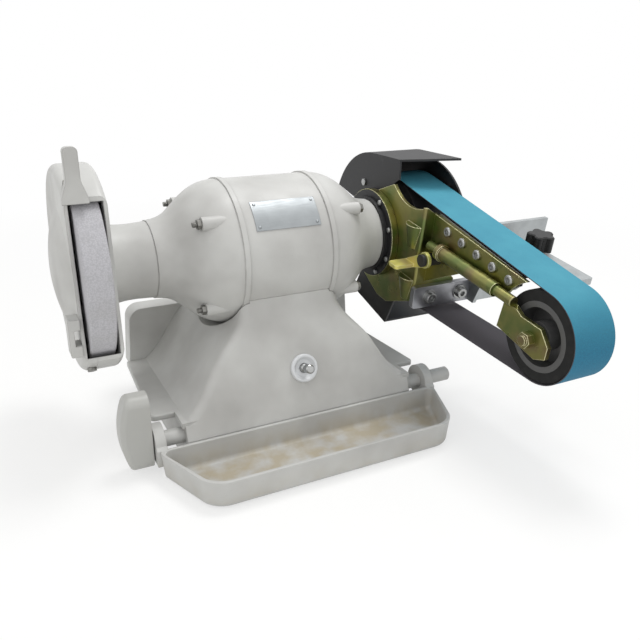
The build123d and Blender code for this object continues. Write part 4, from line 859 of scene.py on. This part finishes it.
@dataclass
class TrayParts(Assembly):
    """Dust tray."""

    def build(self) -> None:
        """Dress the tray."""
        self.dress(TRAY_ENAMEL, "dust_tray")


@dataclass
class TrayKnob(Assembly):
    """Knob that locks the tray."""

    def build(self) -> None:
        """Dress the knob."""
        self.dress(GREY_PHENOLIC, "tray_knob")


@dataclass
class Toggle(Assembly):
    """Toggle lever of the switch."""

    def build(self) -> None:
        """Dress the lever."""
        self.dress(BRIGHT_ZINC, "switch_lever")


@dataclass
class BeltArm(Assembly):
    """Bracket, arm, sheet guards and the belt, which swing about the spindle."""

    wheel_distance: float = 276.0
    drum_radius: float = 70.0
    contact_radius: float = 46.0
    belt_gap: float = 0.3
    belt_thickness: float = 0.97
    belt_inner: float = 165.5
    belt_width: float = 50.0
    belt_cut: float = 924.0  # strip before its ends are spliced, along its middle
    arc_steps: int = 96
    run_steps: int = 24
    width_steps: int = 6
    band_start: float = 139.6
    band_end: float = 147.6
    band_inner: float = 52.9
    band_outer: float = 53.6
    band_gap: float = 9.0  # degrees each side of the collar's lug
    band_steps: int = 120

    def build(self) -> None:
        """Dress the arm's pieces, band the collar and make the belt."""
        self.dress(YELLOW_ZINC, "bracket_plate", "arm_plate", "tension_tube")
        # black on the clamp collar: partly its own dark finish, partly painted shade for the gap behind the
        # bell's neck; the guards and lever stud are black of their own
        self.dress(POWDER, "drum_guard", "lower_guard", "clamp_collar", "lever_stud")
        self.dress(BRIGHT_ZINC, "collar_bolts", "guard_bolts", "arm_bolts", "cross_bolts")
        self.dress(ROLLED_BAR, "cross_bar", "platen")
        self.dress(FLAT_ALUMINIUM, "rest_bracket")
        self.band()
        self.belt()

    def band(self) -> None:
        """Zinc-plated band round the clamp collar, open at the collar's rear lug."""
        corners = ((self.band_start, self.band_inner), (self.band_start, self.band_outer),
                   (self.band_end, self.band_outer), (self.band_end, self.band_inner))
        shell = bmesh.new()
        rings = []
        for step in range(self.band_steps + 1):
            angle = math.radians(self.band_gap + (360.0 - 2 * self.band_gap) * step / self.band_steps)
            out, up = -math.cos(angle), math.sin(angle)
            rings.append([shell.verts.new(Vector(arm_point(x, radius * out, radius * up)) * MM)
                          for x, radius in corners])
        for here, there in zip(rings, rings[1:]):
            for side in range(len(corners)):
                after = (side + 1) % len(corners)
                shell.faces.new((here[side], there[side], there[after], here[after])).smooth = True
        shell.faces.new(rings[0])
        shell.faces.new(rings[-1])
        self.seat(self.piece("collar_band", shell, YELLOW_ZINC), "zinc_yellow")

    def piece(self, name: str, shell: bmesh.types.BMesh, *finishes: Finish) -> bpy.types.Object:
        """Turn a finished shell into a piece with sharp corners and smooth curves.

        Args:
            name: Name of the piece.
            shell: Its faces; it is freed here.
            *finishes: Finishes of its material slots.

        Returns:
            The piece, at the origin.
        """
        bmesh.ops.recalc_face_normals(shell, faces=shell.faces)
        for edge in shell.edges:
            edge.smooth = edge.calc_face_angle(0.0) < SHARP_EDGE
        mesh = bpy.data.meshes.new(name)
        shell.to_mesh(mesh)
        shell.free()
        for finish in finishes:
            mesh.materials.append(finish.material())
        piece = bpy.data.objects.new(name, mesh)
        bpy.context.scene.collection.objects.link(piece)
        return piece

    def loop(self, lift: float) -> list[tuple[float, float]]:
        """Belt line on the level arm, round both wheels.

        Args:
            lift: Height of the line above the wheel faces in millimetres.

        Returns:
            Points (u, v) in millimetres: out along the top run, round the nose and back below.
        """
        lean = math.asin((self.drum_radius - self.contact_radius) / self.wheel_distance)
        small = self.contact_radius + lift
        large = self.drum_radius + lift
        points = []
        for step in range(self.arc_steps + 1):
            angle = math.pi / 2 - lean - (math.pi - 2 * lean) * step / self.arc_steps
            points.append((self.wheel_distance + small * math.cos(angle), small * math.sin(angle)))
        back = []
        for step in range(self.arc_steps + 1):
            angle = -(math.pi / 2 - lean) - (math.pi + 2 * lean) * step / self.arc_steps
            back.append((large * math.cos(angle), large * math.sin(angle)))
        below = self.run(points[-1], back[0])
        above = self.run(back[-1], points[0])
        return points + below + back + above

    def run(self, start: tuple[float, float], end: tuple[float, float]) -> list[tuple[float, float]]:
        """Points between two ends of a straight run, without the ends.

        Args:
            start: One end.
            end: The other end.

        Returns:
            Points (u, v) in millimetres.
        """
        across, up = end[0] - start[0], end[1] - start[1]
        shares = [step / self.run_steps for step in range(1, self.run_steps)]
        return [(start[0] + across * share, start[1] + up * share) for share in shares]

    def belt(self) -> None:
        """Endless belt with grit outside and cloth inside, unrolled on its own UV map in metres."""
        outer = self.loop(self.belt_gap + self.belt_thickness)
        inner = self.loop(self.belt_gap)
        count = len(outer)
        lengths = [0.0]
        for index in range(count):
            here, there = outer[index], outer[(index + 1) % count]
            lengths.append(lengths[-1] + math.dist(here, there) * MM)
        shell = bmesh.new()
        unrolled = shell.loops.layers.uv.new("unrolled")
        rows = [self.belt_width * step / self.width_steps for step in range(self.width_steps + 1)]
        skins = [[[shell.verts.new(Vector(arm_point(self.belt_inner + row, *spot)) * MM) for row in rows]
                  for spot in line] for line in (outer, inner)]
        for index in range(count):
            after = (index + 1) % count
            for side, skin in enumerate(skins):
                here, there = skin[index], skin[after]
                for row in range(self.width_steps):
                    face = shell.faces.new((here[row], there[row], there[row + 1], here[row + 1]))
                    face.material_index = side
                    face.smooth = True
                    marks = ((index, row), (index + 1, row), (index + 1, row + 1), (index, row + 1))
                    for corner, (length, across) in zip(face.loops, marks):
                        corner[unrolled].uv = (lengths[length], rows[across] * MM)
            front, back = skins
            for row in (0, self.width_steps):
                corners = (front[index][row], front[after][row], back[after][row], back[index][row])
                shell.faces.new(corners).material_index = 1
        belt = self.piece("endless_belt", shell, GRIT, BACKING)
        self.seat(belt, "belt_cloth", "abrasive_belt")


@dataclass
class TensionSlide(Assembly):
    """Plunger and wheel plate that slide along the arm."""

    def build(self) -> None:
        """Dress the slide."""
        self.dress(YELLOW_ZINC, "slide_plate", "tension_plunger", "axle_bolt")


@dataclass
class ContactWheel(Assembly):
    """Contact wheel with a rubber tyre on a dark hub."""

    def build(self) -> None:
        """Dress the wheel."""
        self.dress(NYLON_HUB, "contact_hub")
        self.dress(RUBBER, "contact_tyre")


@dataclass
class TensionLever(Assembly):
    """Lever that draws the slide back."""

    def build(self) -> None:
        """Dress the lever."""
        # the lever gets the brighter copy of the yellow zinc: painted light
        self.dress(LIT_YELLOW_ZINC, "tension_lever")


@dataclass
class WorkRest(Assembly):
    """Bar of the work rest."""

    def build(self) -> None:
        """Dress the bar."""
        self.dress(FLAT_ALUMINIUM, "rest_bar")


@dataclass
class RestKnob(Assembly):
    """Lobed knob that clamps the rest."""

    def build(self) -> None:
        """Dress the knob."""
        self.dress(BLACK_PHENOLIC, "rest_knob")


@dataclass
class Studio:
    """Pale floor, soft light and the camera at the viewing angle."""

    eye: Point = (-0.2965, -0.7217, 0.4088)
    azimuth: float = 27.1
    elevation: float = 21.4
    roll: float = 0.5
    focal_pixels: float = 695.0
    frame_pixels: float = 640.0
    sensor: float = 36.0
    near_clip: float = 0.01
    aim: Point = (0.0, -0.06, 0.15)
    floor_reach: float = 12.0
    floor_drop: float = -0.0005  # just under the feet
    floor_colour: str = "#f2f2f0"
    fade_from: float = 0.35  # metres from the middle where the floor starts to turn white
    fade_to: float = 1.3
    least_white: float = 0.62  # share of plain white near the object
    even_light: float = 0.77

    def build(self) -> None:
        """Set up everything around the object."""
        bpy.context.scene.view_settings.view_transform = "Standard"
        self.camera()
        self.floor()
        self.world()
        self.lamp("key", place=(0.35, 0.05, 1.5), size=0.5, power=9.5)
        self.lamp("left", place=(-1.25, -0.55, 0.95), size=1.0, power=2.6)
        self.lamp("front", place=(0.45, -1.5, 0.85), size=1.2, power=2.4)

    def camera(self) -> None:
        """Camera from its eye point, two angles and a roll."""
        turn, tip, roll = (math.radians(value) for value in (self.azimuth, self.elevation, self.roll))
        ahead = Vector((math.sin(turn) * math.cos(tip), math.cos(turn) * math.cos(tip), -math.sin(tip)))
        right = Vector((math.cos(turn), -math.sin(turn), 0.0))
        up = right.cross(ahead)
        rolled_right = right * math.cos(roll) + up * math.sin(roll)
        rolled_up = up * math.cos(roll) - right * math.sin(roll)
        data = bpy.data.cameras.new("photo_angle")
        data.sensor_width = self.sensor
        data.lens = self.sensor * self.focal_pixels / self.frame_pixels
        data.clip_start = self.near_clip
        view = bpy.data.objects.new("photo_angle", data)
        turned = Matrix((rolled_right, rolled_up, -ahead)).transposed().to_4x4()
        view.matrix_world = Matrix.Translation(self.eye) @ turned
        bpy.context.scene.collection.objects.link(view)
        bpy.context.scene.camera = view

    def seen(self, tree: Tree) -> Socket:
        """Share that is 1 for rays that see the background straight, in gloss or through glass.

        Args:
            tree: Node tree of the floor or the world.

        Returns:
            Socket that is 0 or 1.
        """
        path = add_node(tree, "ShaderNodeLightPath").outputs
        first = add_node(tree, "ShaderNodeMath", {0: path["Is Camera Ray"], 1: path["Is Glossy Ray"]},
                         operation="MAXIMUM")
        both = add_node(tree, "ShaderNodeMath", {0: first.outputs[0], 1: path["Is Transmission Ray"]},
                        operation="MAXIMUM")
        return both.outputs[0]

    def floor(self) -> None:
        """Wide pale floor that keeps the object's shadow and fades into the white background."""
        mesh = bpy.data.meshes.new("floor")
        reach, height = self.floor_reach, self.floor_drop
        mesh.from_pydata([(-reach, -reach, height), (reach, -reach, height), (reach, reach, height),
                          (-reach, reach, height)], [], [(0, 1, 2, 3)])
        material = bpy.data.materials.new("pale_floor")
        material.use_nodes = True
        tree = material.node_tree
        tree.nodes.clear()
        coords = add_node(tree, "ShaderNodeTexCoord").outputs["Object"]
        far = add_node(tree, "ShaderNodeVectorMath", {0: coords}, operation="LENGTH")
        fade = add_node(tree, "ShaderNodeMapRange", {0: far.outputs["Value"], 1: self.fade_from,
                                                     2: self.fade_to, 3: self.least_white, 4: 1.0})
        share = add_node(tree, "ShaderNodeMath", {0: fade.outputs[0], 1: self.seen(tree)},
                         operation="MULTIPLY")
        paint = add_node(tree, "ShaderNodeBsdfDiffuse", {"Color": linear(self.floor_colour)})
        glow = add_node(tree, "ShaderNodeEmission", {"Color": linear(WHITE), "Strength": 1.0})
        both = add_node(tree, "ShaderNodeMixShader",
                        {0: share.outputs[0], 1: paint.outputs[0], 2: glow.outputs[0]})
        add_node(tree, "ShaderNodeOutputMaterial", {0: both.outputs[0]})
        mesh.materials.append(material)
        plane = bpy.data.objects.new("floor", mesh)
        bpy.context.scene.collection.objects.link(plane)

    def world(self) -> None:
        """White where it is seen, a lower even light elsewhere."""
        world = bpy.data.worlds.new("studio")
        world.use_nodes = True
        tree = world.node_tree
        tree.nodes.clear()
        strength = add_node(tree, "ShaderNodeMapRange", {0: self.seen(tree), 3: self.even_light, 4: 1.0})
        light = add_node(tree, "ShaderNodeBackground",
                         {"Color": linear(WHITE), "Strength": strength.outputs[0]})
        add_node(tree, "ShaderNodeOutputWorld", {0: light.outputs[0]})
        bpy.context.scene.world = world

    def lamp(self, name: str, place: Point, size: float, power: float) -> None:
        """Add one square area lamp that points at the object.

        Args:
            name: Name of the lamp.
            place: Place in metres.
            size: Side of the lamp in metres.
            power: Power in watts.
        """
        data = bpy.data.lights.new(name, "AREA")
        data.size = size
        data.energy = power
        lamp = bpy.data.objects.new(name, data)
        lamp.location = place
        lamp.rotation_euler = (Vector(self.aim) - Vector(place)).to_track_quat("-Z", "Y").to_euler()
        bpy.context.scene.collection.objects.link(lamp)


def main() -> None:
    """Build the studio and every assembly."""
    logging.basicConfig(level=logging.INFO, format="%(message)s")
    Studio().build()
    assemblies = [Grinder("grinder"), SpindleSet("spindle_set"), TrayParts("tray"), TrayKnob("knob"),
                  Toggle("toggle"), BeltArm("belt_arm"), TensionSlide("tension_slide"),
                  ContactWheel("contact_wheel"), TensionLever("lever"), WorkRest("rest"),
                  RestKnob("clamp_knob")]
    for assembly in assemblies:
        assembly.build()


if __name__ == "__main__":
    main()
